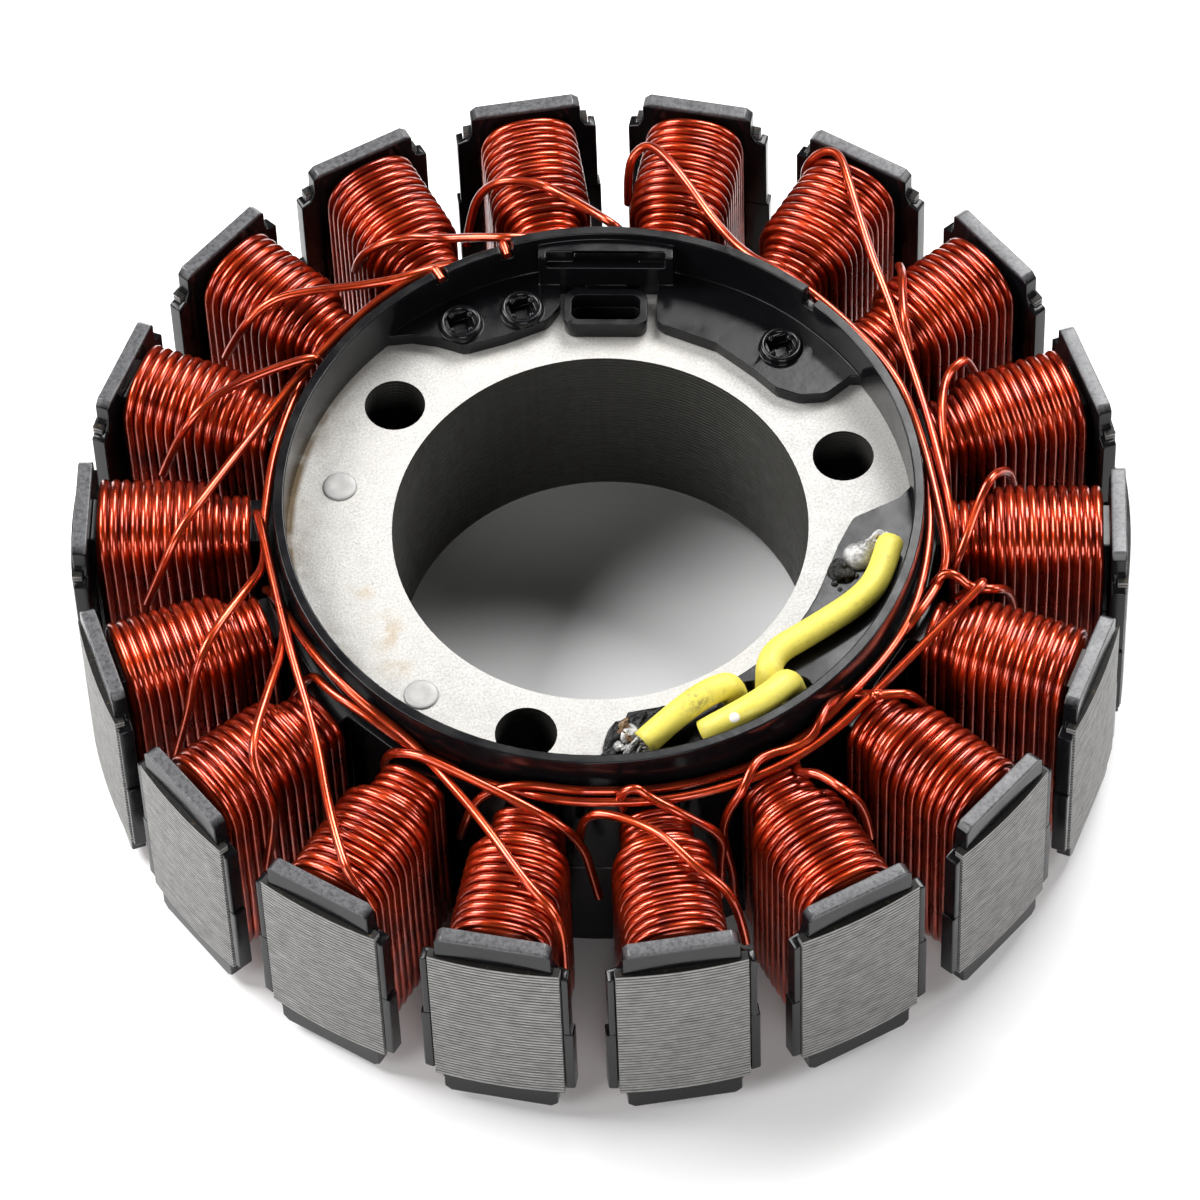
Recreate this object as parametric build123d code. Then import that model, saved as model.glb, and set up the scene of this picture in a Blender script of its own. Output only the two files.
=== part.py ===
from build123d import *
import os
from math import cos, radians, sin, sqrt, tan

# Wound stator of a motorcycle alternator: a stack of steel laminations with
# eighteen poles, insulated by two moulded caps and wound with enamelled wire.
# Millimetres, +Z up. The origin is on the bore axis, level with the lower face
# of the lamination stack. Pole 1 lies along +X, over the single bolt hole.

os.makedirs("parts", exist_ok=True)

# Lamination stack
pole_count = 18
core_d = 114.0
bore_d = 44.8
lamination_t = 0.53
lamination_count = 44
yoke_d = 71.0
tooth_w = 4.2
shoe_w = 14.0
shoe_t = 1.5
bolt_hole_d = 6.6
bolt_circle_d = 55.5
bolt_angles = (0, 125, 235)

# Moulded caps
fit_gap = 0.1
lining_t = 0.5
flange_t = 0.6
cap_t = 0.8
tab_h = 3.5
tab_w = 12.3
tab_recess = 0.6
tab_corner = 0.7
skirt_t = 0.75
skirt_drop = 1.0
lower_skirt_step = 0.3
collar_d = 69.6
collar_t = 1.1
collar_h = 6.6
raised_h = 1.0
raised_from = 30.2
raised_to = 87.4
notch_w = 1.4
notch_depth = 1.3
notch_angles = (29.0, 88.6, 101.8)
lower_collar_h = 4.8

# Inner plates of the upper cap
plate_t = 1.75
plate_bore_gap = 3.0
plate_corner_r = 1.5
boss_d = 4.7
boss_h = 0.5
boss_hole_w = 1.8
boss_hole_depth = 1.3
boss_places = ((-6.1, 29.4), (0.8, 29.0), (25.8, 14.7))
port_angle = 70
port_r = 27.7
port_w = 9.1
port_depth = 4.9
port_wall = 0.8
port_h = 2.3
port_corner_r = 1.3
pocket_w = 14.8
pocket_face_r = 31.1
pocket_ledge_h = 4.8
pocket_depth = 0.9
pocket_slot_w = 7.2
pocket_slot_h = 1.7
lead_port_x = 9.55
lead_port_y = -27.5
lead_port_turn = -11.5
lead_spacing = 3.05
lead_port_w = 3.4

# Windings
# Each ridge of a coil stands for two or three turns of wire side by side, and each layer
# nests in the one below it
wire_d = 1.0
layer_nest = 0.85
ridge_pitch = 2.6
ridge_depth = 0.4
coil_hub_gap = 0.9
narrow_length = 4.7
narrow_layers = 1
wide_layers = 3
shoulder_rise = 0.8
shoulder_run = 1.1

# Phase leads: plan points, each with its lift above the plate, then the slot they drop into
lead_d = 2.95
lead_rest = 0.05
lead_depth = 10.0
lead_sides = 8
leads = {
    "phase_lead_1": (0, 0.0, ((27.9, -14.4, 0.0), (25.7, -18.0, 0.0), (22.6, -20.5, 0.0), (16.0, -22.6, 0.0),
                              (11.0, -23.9, 0.0)), (3.0, 4.0, 6.0, 2.5, 2.0)),
    "phase_lead_2": (1, 1.6, ((1.1, -31.0, 0.0), (5.0, -31.2, 1.9), (8.6, -30.5, 2.5)), (3.0, 3.0, 2.2)),
    "phase_lead_3": (-1, 1.2, ((-5.2, -30.1, 0.0), (-1.4, -28.7, 1.2), (2.9, -27.3, 1.8)), (4.0, 4.0, 2.2)),
}

# Crossover wires: the points of each route, then the radius of each bend
crossover_sides = 5
crossovers = (
    (((35.9, -17.8, 20.5), (35.1, -18.4, 25.2), (35.5, -23.1, 27.4), (32.7, -24.5, 26.6),
      (16.3, -34.0, 26.0), (9.8, -36.7, 25.8), (2.3, -37.8, 25.8), (-5.9, -37.2, 25.9),
      (-14.1, -34.2, 25.7), (-17.5, -32.5, 26.0), (-20.1, -29.8, 25.0), (-24.5, -26.3, 24.8),
      (-28.5, -22.2, 25.4), (-31.5, -19.3, 23.9), (-33.4, -18.9, 19.0)),
     (3.8, 1.8, 4.0, 4.0, 4.0, 4.0, 4.0, 4.0, 4.0, 4.0, 4.0, 4.0, 4.0)),
    (((36.0, -3.7, 25.4), (33.9, -10.8, 25.7), (31.3, -17.0, 25.8), (27.4, -23.4, 25.8),
      (22.8, -27.6, 25.6), (16.8, -31.9, 26.8), (11.4, -34.2, 25.2), (4.0, -35.8, 24.9),
      (-5.2, -35.6, 25.4), (-12.4, -33.8, 26.5), (-14.6, -32.7, 26.2), (-19.2, -30.6, 26.8),
      (-23.3, -29.2, 24.7), (-25.1, -29.4, 20.0)),
     (4.0, 4.0, 4.0, 4.0, 4.0, 4.0, 4.0, 4.0, 4.0, 4.0, 4.0, 4.0)),
    (((-3.2, 36.1, 25.2), (-5.8, 35.0, 29.4), (-13.3, 33.7, 28.9), (-23.8, 28.4, 27.4),
      (-30.8, 23.0, 26.6), (-38.0, 16.5, 27.7), (-43.6, 11.5, 28.0), (-46.7, 9.5, 23.5),
      (-48.3, 9.7, 19.0)),
     (3.8, 4.0, 4.0, 4.0, 4.0, 4.0, 4.0)),
    (((-1.0, 44.0, 19.0), (0.4, 46.0, 22.1), (1.7, 46.3, 24.8), (3.7, 45.3, 27.3), (6.7, 43.6, 27.8),
      (9.0, 41.8, 27.5), (12.7, 33.3, 30.4)),
     (4.0, 4.0, 4.0, 4.0, 4.0)),
    (((-13.9, 43.8, 20.6), (-13.7, 42.5, 25.1), (-9.4, 41.0, 28.0), (-4.9, 40.2, 26.7),
      (1.6, 35.5, 30.4)),
     (1.6, 4.0, 4.0)),
    (((-30.7, 38.3, 19.0), (-29.1, 37.2, 24.7), (-25.8, 37.8, 27.3), (-22.2, 37.5, 28.1),
      (-12.9, 33.6, 30.1)),
     (4.0, 4.0, 4.0)),
    (((-41.8, 25.5, 19.0), (-39.8, 25.3, 24.8), (-37.3, 26.0, 27.5), (-33.2, 28.2, 27.6),
      (-23.4, 27.9, 29.4)),
     (4.0, 3.9, 4.0)),
    (((17.9, 43.5, 19.0), (18.1, 44.3, 24.8), (20.0, 45.1, 26.6), (21.3, 43.8, 27.6),
      (22.6, 39.0, 28.1), (24.1, 32.2, 27.1), (25.6, 25.9, 28.0), (29.1, 21.0, 28.9),
      (33.4, 13.5, 27.5), (35.8, 4.4, 28.2), (35.6, -3.8, 26.6), (34.5, -10.8, 26.7),
      (33.5, -17.5, 26.0), (32.3, -19.3, 25.0), (32.5, -20.1, 20.0)),
     (3.0, 1.7, 2.8, 4.0, 4.0, 4.0, 4.0, 4.0, 4.0, 4.0, 4.0, 3.9, 1.8)),
    (((37.3, 39.7, 24.3), (38.5, 38.3, 27.6), (39.7, 35.7, 27.9), (40.0, 31.6, 27.8),
      (37.4, 21.1, 26.5), (37.4, -1.1, 26.2), (34.8, -16.8, 26.0), (33.6, -17.8, 22.2)),
     (2.4, 4.0, 4.0, 4.0, 4.0, 2.5)),
    (((43.9, -9.1, 23.7), (42.9, -9.5, 26.3), (40.6, -11.0, 28.0), (38.6, -12.8, 26.8),
      (34.9, -17.7, 26.1), (33.3, -18.8, 24.1), (33.5, -19.1, 19.1)),
     (3.8, 2.4, 4.0, 3.2, 3.0)),
    (((-34.2, 12.4, 26.6), (-35.9, 7.7, 29.4), (-38.5, 4.5, 26.3), (-44.1, -2.7, 28.6),
      (-47.1, -5.8, 26.8), (-48.4, -6.7, 21.1), (-50.8, -7.0, 13.0)),
     (3.4, 4.0, 4.0, 4.0, 4.0)),
    (((-37.6, -2.1, 26.1), (-37.0, -4.0, 25.4), (-40.6, -11.1, 27.4), (-43.7, -16.3, 28.1),
      (-44.9, -19.6, 27.6), (-43.9, -23.1, 24.5), (-44.1, -22.6, 18.9), (-45.3, -23.0, 13.0)),
     (1.8, 4.0, 4.0, 3.8, 3.1, 4.0)),
    (((-34.0, 18.0, 20.1), (-33.1, 16.5, 25.8), (-34.0, 12.8, 25.5), (-36.7, -5.8, 26.5),
      (-37.4, -18.0, 26.5), (-39.0, -27.1, 27.7), (-39.6, -34.4, 27.9)),
     (1.9, 4.0, 4.0, 4.0, 4.0)),
    (((-37.8, 5.5, 20.1), (-37.1, 4.1, 25.7), (-36.6, -0.9, 27.3), (-34.7, -9.1, 28.1),
      (-32.3, -15.8, 28.6), (-28.3, -21.4, 26.7), (-26.1, -26.9, 26.0), (-24.2, -34.9, 27.5),
      (-22.4, -43.5, 27.7), (-20.4, -47.2, 26.4), (-20.3, -48.5, 20.6), (-21.1, -50.4, 12.6)),
     (3.4, 4.0, 4.0, 4.0, 4.0, 4.0, 4.0, 4.0, 3.3, 4.0)),
    (((-14.3, -35.3, 19.0), (-14.1, -35.1, 22.5), (-13.0, -35.6, 25.0), (-11.1, -36.8, 25.7),
      (-7.5, -42.0, 28.2), (-5.2, -47.2, 27.6), (-2.8, -49.4, 25.7), (-1.9, -51.0, 22.6),
      (-1.5, -51.7, 18.0)),
     (4.0, 2.4, 4.0, 4.0, 4.0, 4.0, 4.0)),
    (((0.7, -41.1, 15.0), (0.0, -39.7, 20.0), (0.7, -39.4, 23.8), (2.6, -39.1, 26.4),
      (4.3, -37.1, 27.3), (6.0, -35.8, 26.8), (7.7, -35.9, 26.1)),
     (4.0, 4.0, 2.9, 3.2, 2.2)),
)

# Solder joints and the drop of burnt resin on the lower plate
joint_1_place = (24.54, -14.28)
joint_1_d = 3.3
joint_2_place = (-6.0, -27.7)
joint_2_d = 2.4
blob_place = (21.9, -15.5)
blob_d = 2.4
dome_sides = 10

stack_h = lamination_t * lamination_count
core_r = core_d / 2
bore_r = bore_d / 2
yoke_r = yoke_d / 2
collar_r = collar_d / 2
collar_inner_r = collar_r - collar_t
shoe_inner_r = core_r - shoe_t
flange_x1 = core_r - tab_recess
flange_x0 = shoe_inner_r - fit_gap - flange_t
slot_r = yoke_r + fit_gap + lining_t
tooth_hole_w = tooth_w + 2 * fit_gap
tooth_cover_w = tooth_hole_w + 2 * lining_t
skirt_w = shoe_w + 2 * fit_gap + 2 * skirt_t
plate_top = stack_h + plate_t
coil_x0 = slot_r + coil_hub_gap
past = 1.0


def around(shape, count):
    """Copies of a shape turned evenly about the axis."""
    return [Rot(0, 0, 360 / count * i) * shape for i in range(count)]


def ring(outer, inner, z0, z1):
    """A plain ring between two heights."""
    return Pos(0, 0, z0) * extrude(Circle(outer) - Circle(inner), z1 - z0)


def strip(x0, x1, width):
    """A flat strip along +X, centred on the X axis."""
    return Pos((x0 + x1) / 2, 0) * Rectangle(x1 - x0, width)


def hub(slot_bottom_r):
    """The hub's outline, flat across the bottom of each slot and cornered under each tooth."""
    return RegularPolygon(slot_bottom_r, pole_count, major_radius=False)


def lead_slot():
    """The slot that the three leads rise through, long enough for them side by side."""
    length = 2 * lead_spacing + lead_port_w
    return Pos(lead_port_x, lead_port_y) * Rot(0, 0, lead_port_turn) * SlotOverall(length, lead_port_w)


def port_outline(inset=0.0):
    """The wiring port's oblong, its long side across the radius."""
    rounded = RectangleRounded(port_depth - 2 * inset, port_w - 2 * inset, port_corner_r - inset / 2)
    return Rot(0, 0, port_angle) * Pos(port_r, 0) * rounded


def make_core():
    """The lamination stack: yoke, teeth with their shoes, bore and holes."""
    shoe = Circle(core_r) & strip(shoe_inner_r, core_r + past, shoe_w)
    tooth = strip(yoke_r - past, shoe_inner_r + shoe_t / 2, tooth_w)
    outline = hub(yoke_r) + around(shoe + tooth, pole_count)
    holes = [Circle(bore_r), port_outline(port_wall), lead_slot()]
    for angle in bolt_angles:
        holes.append(Rot(0, 0, angle) * Pos(bolt_circle_d / 2, 0) * Circle(bolt_hole_d / 2))
    return extrude(outline - holes, stack_h)


def flange_side(half_h, width):
    """One pole's flange seen along the radius: a wide skirt that steps in to a tab with cut corners."""
    step = (width - tab_w) / 2
    shoulder_z = half_h - skirt_drop
    top_z = half_h + tab_h
    half = ((width / 2, 0), (width / 2, shoulder_z), (tab_w / 2 + step / 4, shoulder_z + step / 4),
            (tab_w / 2, shoulder_z + step), (tab_w / 2, top_z - tab_corner), (tab_w / 2 - tab_corner, top_z))
    points = list(half)
    for y, z in reversed(half):
        points.append((-y, z))
    return Plane.YZ * Polygon(*points, align=None)


def make_flange(half_h, width):
    """One pole's end flange: skirt round half the shoe, with the notched tab above it."""
    shoe_room = strip(shoe_inner_r - fit_gap, core_r, shoe_w + 2 * fit_gap)
    span = strip(flange_x0, flange_x1, width)
    skirt = extrude(span - shoe_room - strip(yoke_r, core_r, tooth_hole_w), half_h)
    tab = Pos(0, 0, half_h) * extrude(span, tab_h)
    return (skirt + tab) & extrude(flange_side(half_h, width), core_r)


def make_cap(half_h, rim_h, width):
    """A moulded cap for half the stack: slot linings, tooth covers, flanges and collar wall."""
    cover = strip(yoke_r, flange_x0, tooth_cover_w)
    tooth_room = strip(yoke_r - past, flange_x0 + past, tooth_hole_w)
    lining = hub(slot_r) + around(cover, pole_count)
    lining = lining - [hub(yoke_r + fit_gap)] - around(tooth_room, pole_count)
    deck = hub(slot_r) + around(cover, pole_count) - Circle(collar_inner_r)
    body = extrude(lining, half_h)
    body += Pos(0, 0, half_h) * extrude(deck, cap_t)
    body += ring(collar_r, collar_inner_r, half_h, half_h + rim_h)
    body += around(make_flange(half_h, width), pole_count)
    return body


def make_plates():
    """The three inner plates that lie on the hub, cut to the collar's inside."""
    left = Polygon((-18.0, 33.0), (-14.2, 30.6), (-11.6, 30.0), (-9.2, 28.7), (-6.6, 26.6), (-2.0, 26.5),
                   (3.0, 26.9), (5.0, 28.4), (7.0, 34.5), (0.0, 38.0), align=None)
    right = Polygon((19.0, 34.0), (14.8, 24.6), (14.2, 22.5), (19.4, 17.7), (22.0, 13.2), (23.6, 9.8),
                    (25.6, 8.1), (28.4, 7.3), (31.6, 8.6), (36.0, 6.8), (38.0, 20.0), align=None)
    lower = Polygon((37.0, -4.6), (31.2, -8.4), (25.6, -9.2), (22.9, -12.0), (20.4, -15.2), (4.0, -18.0),
                    (-5.2, -24.8), (-7.4, -27.6), (-9.8, -33.0), (0.0, -40.0), (28.0, -32.0), align=None)
    plates = []
    for outline in (left, right, lower):
        bends = [v for v in outline.vertices() if bore_r < sqrt(v.X ** 2 + v.Y ** 2) < collar_inner_r - past]
        outline = fillet(bends, plate_corner_r)
        outline = outline & Circle((collar_inner_r + collar_r) / 2)
        outline -= Circle(bore_r + plate_bore_gap)
        plates.append(Pos(0, 0, stack_h) * extrude(outline, plate_t))
    return plates


def star_hole():
    """The four-pointed hole in the top of a boss."""
    points = []
    for i in range(8):
        reach = boss_hole_w if i % 2 else boss_hole_w * 0.72
        points.append((reach * cos(radians(45 * i)), reach * sin(radians(45 * i))))
    return Polygon(*points, align=None)


def make_upper_cap():
    """The upper cap with its raised back wall, pocket, wiring port, plates and bosses."""
    half_h = stack_h / 2
    cap = Pos(0, 0, half_h) * make_cap(half_h, collar_h, skirt_w)
    rim_z = stack_h + collar_h
    sweep_angle = raised_to - raised_from
    middle = (raised_from + raised_to) / 2
    reach = core_r
    wedge = Rot(0, 0, middle) * Polygon(
        (0, 0), (reach, -reach * tan(radians(sweep_angle / 2))), (reach, reach * tan(radians(sweep_angle / 2))),
        align=None)
    raised = (Circle(collar_r) - Circle(collar_inner_r)) & wedge
    cap += Pos(0, 0, stack_h) * extrude(raised, collar_h + raised_h)
    pocket = Circle(collar_inner_r + collar_t / 2) & strip(pocket_face_r, collar_r, pocket_w)
    recess = strip(pocket_face_r - past, pocket_face_r + pocket_depth, pocket_w - 2 * pocket_depth)
    slot = strip(pocket_face_r, collar_r + past, pocket_slot_w)
    ledge_z = stack_h + pocket_ledge_h
    cap += Pos(0, 0, stack_h) * Rot(0, 0, port_angle) * extrude(pocket, collar_h)
    cap -= Pos(0, 0, ledge_z) * Rot(0, 0, port_angle) * extrude(recess, collar_h)
    cap -= Pos(0, 0, ledge_z) * Rot(0, 0, port_angle) * extrude(slot, pocket_slot_h)
    cap += make_plates()
    web = Rot(0, 0, port_angle) * strip(port_r, pocket_face_r + past, port_w / 2)
    cap += Pos(0, 0, stack_h) * extrude(web, plate_t)
    cap += Pos(0, 0, stack_h) * extrude(port_outline(), port_h)
    cap -= Pos(0, 0, stack_h - past) * extrude(port_outline(port_wall), port_h + 2 * past)
    cap += [Pos(x, y, plate_top) * extrude(Circle(boss_d / 2), boss_h) for x, y in boss_places]
    hole_z = plate_top + boss_h - boss_hole_depth
    cap -= [Pos(x, y, hole_z) * extrude(star_hole(), boss_hole_depth + past) for x, y in boss_places]
    cap -= Pos(0, 0, stack_h - past) * extrude(lead_slot(), plate_t + 2 * past)
    notch = Pos(collar_r, 0, rim_z - notch_depth) * Box(4 * collar_t, notch_w, 4 * notch_depth,
                                                        align=(Align.CENTER, Align.CENTER, Align.MIN))
    cap -= [Rot(0, 0, angle) * notch for angle in notch_angles]
    return cap


def make_lower_cap():
    """The lower cap, turned over, its skirts a step wider than the upper ones."""
    half_h = stack_h / 2
    cap = make_cap(half_h, lower_collar_h, skirt_w + 2 * lower_skirt_step)
    return Pos(0, 0, half_h) * Rot(180, 0, 0) * cap


def coil_outline(x, layers, sunk):
    """The eight corners of so many layers of wire, at one place along the tooth."""
    crest = wire_d * (1 + layer_nest * (layers - 1))
    half_w = tooth_cover_w / 2 + fit_gap + crest - sunk
    half_h = stack_h / 2 + cap_t + fit_gap + crest - sunk
    flat = half_w - shoulder_run * crest
    corner = half_h - shoulder_rise * crest
    corners = ((half_w, -corner), (half_w, corner), (flat, half_h), (-flat, half_h),
               (-half_w, corner), (-half_w, -corner), (-flat, -half_h), (flat, -half_h))
    return [(x, y, stack_h / 2 + z) for y, z in corners]


def skinned(outlines):
    """A solid with flat faces between each outline and the next."""
    faces = [Face(Wire.make_polygon(outlines[0])), Face(Wire.make_polygon(outlines[-1]))]
    for near, far in zip(outlines, outlines[1:]):
        for i in range(len(near)):
            faces.append(Face(Wire.make_polygon((near[i - 1], near[i], far[i], far[i - 1]))))
    return Solid(Shell(faces))


def make_coil():
    """A winding on the tooth along +X: ridged turns, one layer at the hub and three at the shoe."""
    end_x = flange_x0 - fit_gap
    outlines = []
    step_x = coil_x0 + narrow_length
    zones = ((coil_x0, step_x, narrow_layers), (step_x, end_x, wide_layers))
    for x0, x1, layers in zones:
        ridges = round((x1 - x0) / ridge_pitch)
        pitch = (x1 - x0) / ridges
        for i in range(ridges):
            outlines.append(coil_outline(x0 + pitch * (i + 0.03), layers, ridge_depth))
            outlines.append(coil_outline(x0 + pitch * (i + 0.5), layers, 0))
        outlines.append(coil_outline(x1 - pitch * 0.03, layers, ridge_depth))
    room = Box(end_x, tooth_cover_w + 2 * fit_gap, stack_h + 2 * cap_t + 2 * fit_gap)
    return skinned(outlines) - Pos((coil_x0 + end_x) / 2, 0, stack_h / 2) * room


def tube(points, radii, diameter, sides):
    """A tube along straight runs joined by tangent arcs, its round section drawn with flat sides."""
    path = FilletPolyline(*points, radius=list(radii))
    start = Plane(origin=path @ 0, z_dir=path % 0)
    return sweep(start * RegularPolygon(diameter / 2, sides), path=path)


def rest_z():
    """Height of a sleeve's centre when it lies on the plate."""
    return plate_top + lead_rest + lead_d / 2


def make_lead(slot_index, slot_lift, route, radii):
    """A sleeved phase lead that lies on the plate and drops into its place in the lead slot."""
    points = [(x, y, rest_z() + lift) for x, y, lift in route]
    slot_x = lead_port_x + slot_index * lead_spacing * cos(radians(lead_port_turn))
    slot_y = lead_port_y + slot_index * lead_spacing * sin(radians(lead_port_turn))
    points.append((slot_x, slot_y, rest_z() + slot_lift))
    points.append((slot_x, slot_y, stack_h - lead_depth))
    return tube(points, radii, lead_d, lead_sides)


def dome(place, diameter):
    """A drop of solder or resin set hard on the lower plate."""
    r = diameter / 2
    levels = ((0, 1), (0.5, 0.9), (0.85, 0.55))
    outlines = [Pos(0, 0, r * height) * RegularPolygon(r * reach, dome_sides) for height, reach in levels]
    return Pos(place[0], place[1], plate_top) * loft(outlines, ruled=True)


def main():
    """Write every node."""
    nodes = {
        "lamination_core": make_core(),
        "upper_insulator": make_upper_cap(),
        "lower_insulator": make_lower_cap(),
    }
    coil = make_coil()
    for number, shape in enumerate(around(coil, pole_count), start=1):
        nodes[f"coil_{number:02d}"] = shape
    for number, (points, radii) in enumerate(crossovers, start=1):
        nodes[f"crossover_{number:02d}"] = tube(points, radii, wire_d, crossover_sides)
    for name, values in leads.items():
        nodes[name] = make_lead(*values)
    nodes["solder_joint_1"] = dome(joint_1_place, joint_1_d)
    nodes["solder_joint_2"] = dome(joint_2_place, joint_2_d)
    nodes["resin_blob"] = dome(blob_place, blob_d)
    for name, shape in nodes.items():
        export_step(shape, f"parts/{name}.step")


main()
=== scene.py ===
# %% [markdown]
# # A wound stator, dressed in Blender
# A stator is the still half of an alternator: a stack of thin steel sheets with
# eighteen teeth, each wrapped in enamelled copper wire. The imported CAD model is
# loaded first and never moved. Everything that this lesson adds is worked out in
# its frame, in metres, with +Z up the bore axis.

# %% Load the frame
import math
import bmesh
import bpy
import numpy as np
from mathutils import Matrix, Vector


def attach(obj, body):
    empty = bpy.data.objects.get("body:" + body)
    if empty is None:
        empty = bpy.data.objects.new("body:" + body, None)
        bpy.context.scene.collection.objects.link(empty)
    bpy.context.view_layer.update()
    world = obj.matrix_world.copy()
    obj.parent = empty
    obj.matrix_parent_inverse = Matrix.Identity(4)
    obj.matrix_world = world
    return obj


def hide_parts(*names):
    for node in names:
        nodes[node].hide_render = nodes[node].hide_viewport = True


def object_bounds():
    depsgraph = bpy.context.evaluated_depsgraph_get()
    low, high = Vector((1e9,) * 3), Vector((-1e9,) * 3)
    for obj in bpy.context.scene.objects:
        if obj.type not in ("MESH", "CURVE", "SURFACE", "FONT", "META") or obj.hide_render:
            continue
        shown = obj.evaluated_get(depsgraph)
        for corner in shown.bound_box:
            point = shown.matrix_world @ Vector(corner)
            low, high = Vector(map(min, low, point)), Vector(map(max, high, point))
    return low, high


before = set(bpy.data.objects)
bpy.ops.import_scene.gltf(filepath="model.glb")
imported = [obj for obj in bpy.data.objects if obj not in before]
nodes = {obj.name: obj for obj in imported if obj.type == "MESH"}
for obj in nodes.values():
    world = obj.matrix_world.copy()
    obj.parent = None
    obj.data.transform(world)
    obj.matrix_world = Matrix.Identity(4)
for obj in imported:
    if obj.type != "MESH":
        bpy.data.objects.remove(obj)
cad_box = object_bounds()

MM = 0.001
print("CAD nodes:", len(nodes))

# %% [markdown]
# ## Sizes shared by the pieces
# These repeat the values of the part's source, in millimetres, so that each new
# surface sits where the CAD solid sits. A size that only one piece needs stands
# in that piece's own cell.

# %% Sizes
POLES = 18
STACK = 23.32
SHEETS = 44
PLATE_TOP = 25.07
WIRE = 1.0
LEAD_SPACING = 3.05
LEAD_SLOT = (9.55, -27.5)
LEAD_SLOT_TURN = -11.5
print("one sheet is", round(STACK / SHEETS, 3), "mm thick")

# %% [markdown]
# ## Meshes from arrays
# A surface is a grid of points, one array row for each step along it. Each face
# joins a point to the next one in its row and to the two beside them in the next
# row. Working on whole arrays keeps the script short and quick.

# %% Helpers that turn arrays into meshes
def grid_faces(rows, cols, wrap_rows=False, wrap_cols=True, first=0):
    """Quads of a grid: point (i, j) joins (i, j+1), (i+1, j+1) and (i+1, j), wrapping where asked."""
    i = np.arange(rows if wrap_rows else rows - 1)
    j = np.arange(cols if wrap_cols else cols - 1)
    i, j = np.meshgrid(i, j, indexing="ij")
    i2, j2 = (i + 1) % rows, (j + 1) % cols
    quads = np.stack([i * cols + j, i * cols + j2, i2 * cols + j2, i2 * cols + j], axis=-1)
    return quads.reshape(-1, 4) + first


def fan_faces(ring, centre):
    """Triangles from one centre point to each edge of a closed ring of point numbers."""
    ring = np.asarray(ring)
    return np.stack([ring, np.roll(ring, -1), np.full(len(ring), centre)], axis=-1)


def closed_tube(rings):
    """One closed shell: each ring of points joins the next, and a fan closes each end.

    The rings turn right-handed about the direction of travel, which makes the faces look outwards.
    """
    rows, cols = rings.shape[:2]
    points = np.concatenate([rings.reshape(-1, 3), rings[[0, -1]].mean(axis=1)])
    start = fan_faces(np.arange(cols)[::-1], rows * cols)
    end = fan_faces(np.arange(cols) + (rows - 1) * cols, rows * cols + 1)
    return points, [grid_faces(rows, cols), start, end]


print("a closed tube of 3 rings of 4 points has", sum(map(len, closed_tube(np.zeros((3, 4, 3)))[1])), "faces")

# %% [markdown]
# A mesh can be filled point by point, but Blender takes whole arrays at once, which
# is far quicker. Every piece then rides on the part, and one that stands for a CAD
# node hides it.

# %% Helpers that turn meshes into pieces
def new_object(name, data):
    """An object at the origin, in the scene."""
    made = bpy.data.objects.new(name, data)
    bpy.context.scene.collection.objects.link(made)
    return made


def make_piece(name, shells, material, smooth=True):
    """One mesh object from shells, each its points in millimetres and its arrays of faces."""
    count = 0
    points, corner_counts, corners = [], [], []
    for shell_points, face_sets in shells:
        for faces in face_sets:
            corner_counts.append(np.full(len(faces), faces.shape[1]))
            corners.append(faces.ravel() + count)
        points.append(shell_points)
        count += len(shell_points)
    points = np.concatenate(points) * MM
    corner_counts, corners = np.concatenate(corner_counts), np.concatenate(corners)
    mesh = bpy.data.meshes.new(name)
    mesh.vertices.add(count)
    mesh.vertices.foreach_set("co", points.ravel())
    mesh.loops.add(len(corners))
    mesh.loops.foreach_set("vertex_index", corners.astype(np.int32))
    mesh.polygons.add(len(corner_counts))
    starts = np.cumsum(corner_counts) - corner_counts
    mesh.polygons.foreach_set("loop_start", starts.astype(np.int32))
    mesh.polygons.foreach_set("use_smooth", np.full(len(corner_counts), smooth))
    mesh.update(calc_edges=True)
    mesh.validate()
    mesh.materials.append(material)
    return new_object(name, mesh)


def place(piece, slot, *replaced):
    """Lets the piece ride on the part and hides the CAD nodes it replaces; the slot is not used."""
    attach(piece, "root")
    if replaced:
        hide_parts(*replaced)
    return piece


def turned(points, degrees):
    """Points turned about the bore axis: x' = x cos a - y sin a, y' = x sin a + y cos a."""
    a = math.radians(degrees)
    spin = np.array([[math.cos(a), math.sin(a), 0], [-math.sin(a), math.cos(a), 0], [0, 0, 1]])
    return np.asarray(points) @ spin


print("+X turned by a quarter:", turned([1, 0, 0], 90).round(3))

# %% [markdown]
# ## The camera
# The photograph was taken from above the front, with a long lens. The camera's
# place comes from matching the circles of the bore, the collar and the stack.

# %% Camera
def look_from(azimuth, elevation, roll, distance, right_by, up_by, lens):
    """A camera whose back points along the given angles, at a distance, slid sideways and up."""
    a, e, r = np.radians([azimuth, elevation, roll])
    back = np.array([math.sin(a) * math.cos(e), -math.cos(a) * math.cos(e), math.sin(e)])
    right = np.array([math.cos(a), math.sin(a), 0.0])
    up = np.cross(back, right)
    right, up = right * math.cos(r) + up * math.sin(r), up * math.cos(r) - right * math.sin(r)
    spot = (back * distance + right * right_by + up * up_by) * MM
    data = bpy.data.cameras.new("photo_camera")
    data.lens = lens
    data.sensor_width = 36.0
    data.clip_end = 10.0
    camera = new_object("photo_camera", data)
    turn = Matrix([Vector(right), Vector(up), Vector(back)]).transposed().to_4x4()
    camera.matrix_world = Matrix.Translation(Vector(spot)) @ turn
    bpy.context.scene.camera = camera
    return camera


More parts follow.
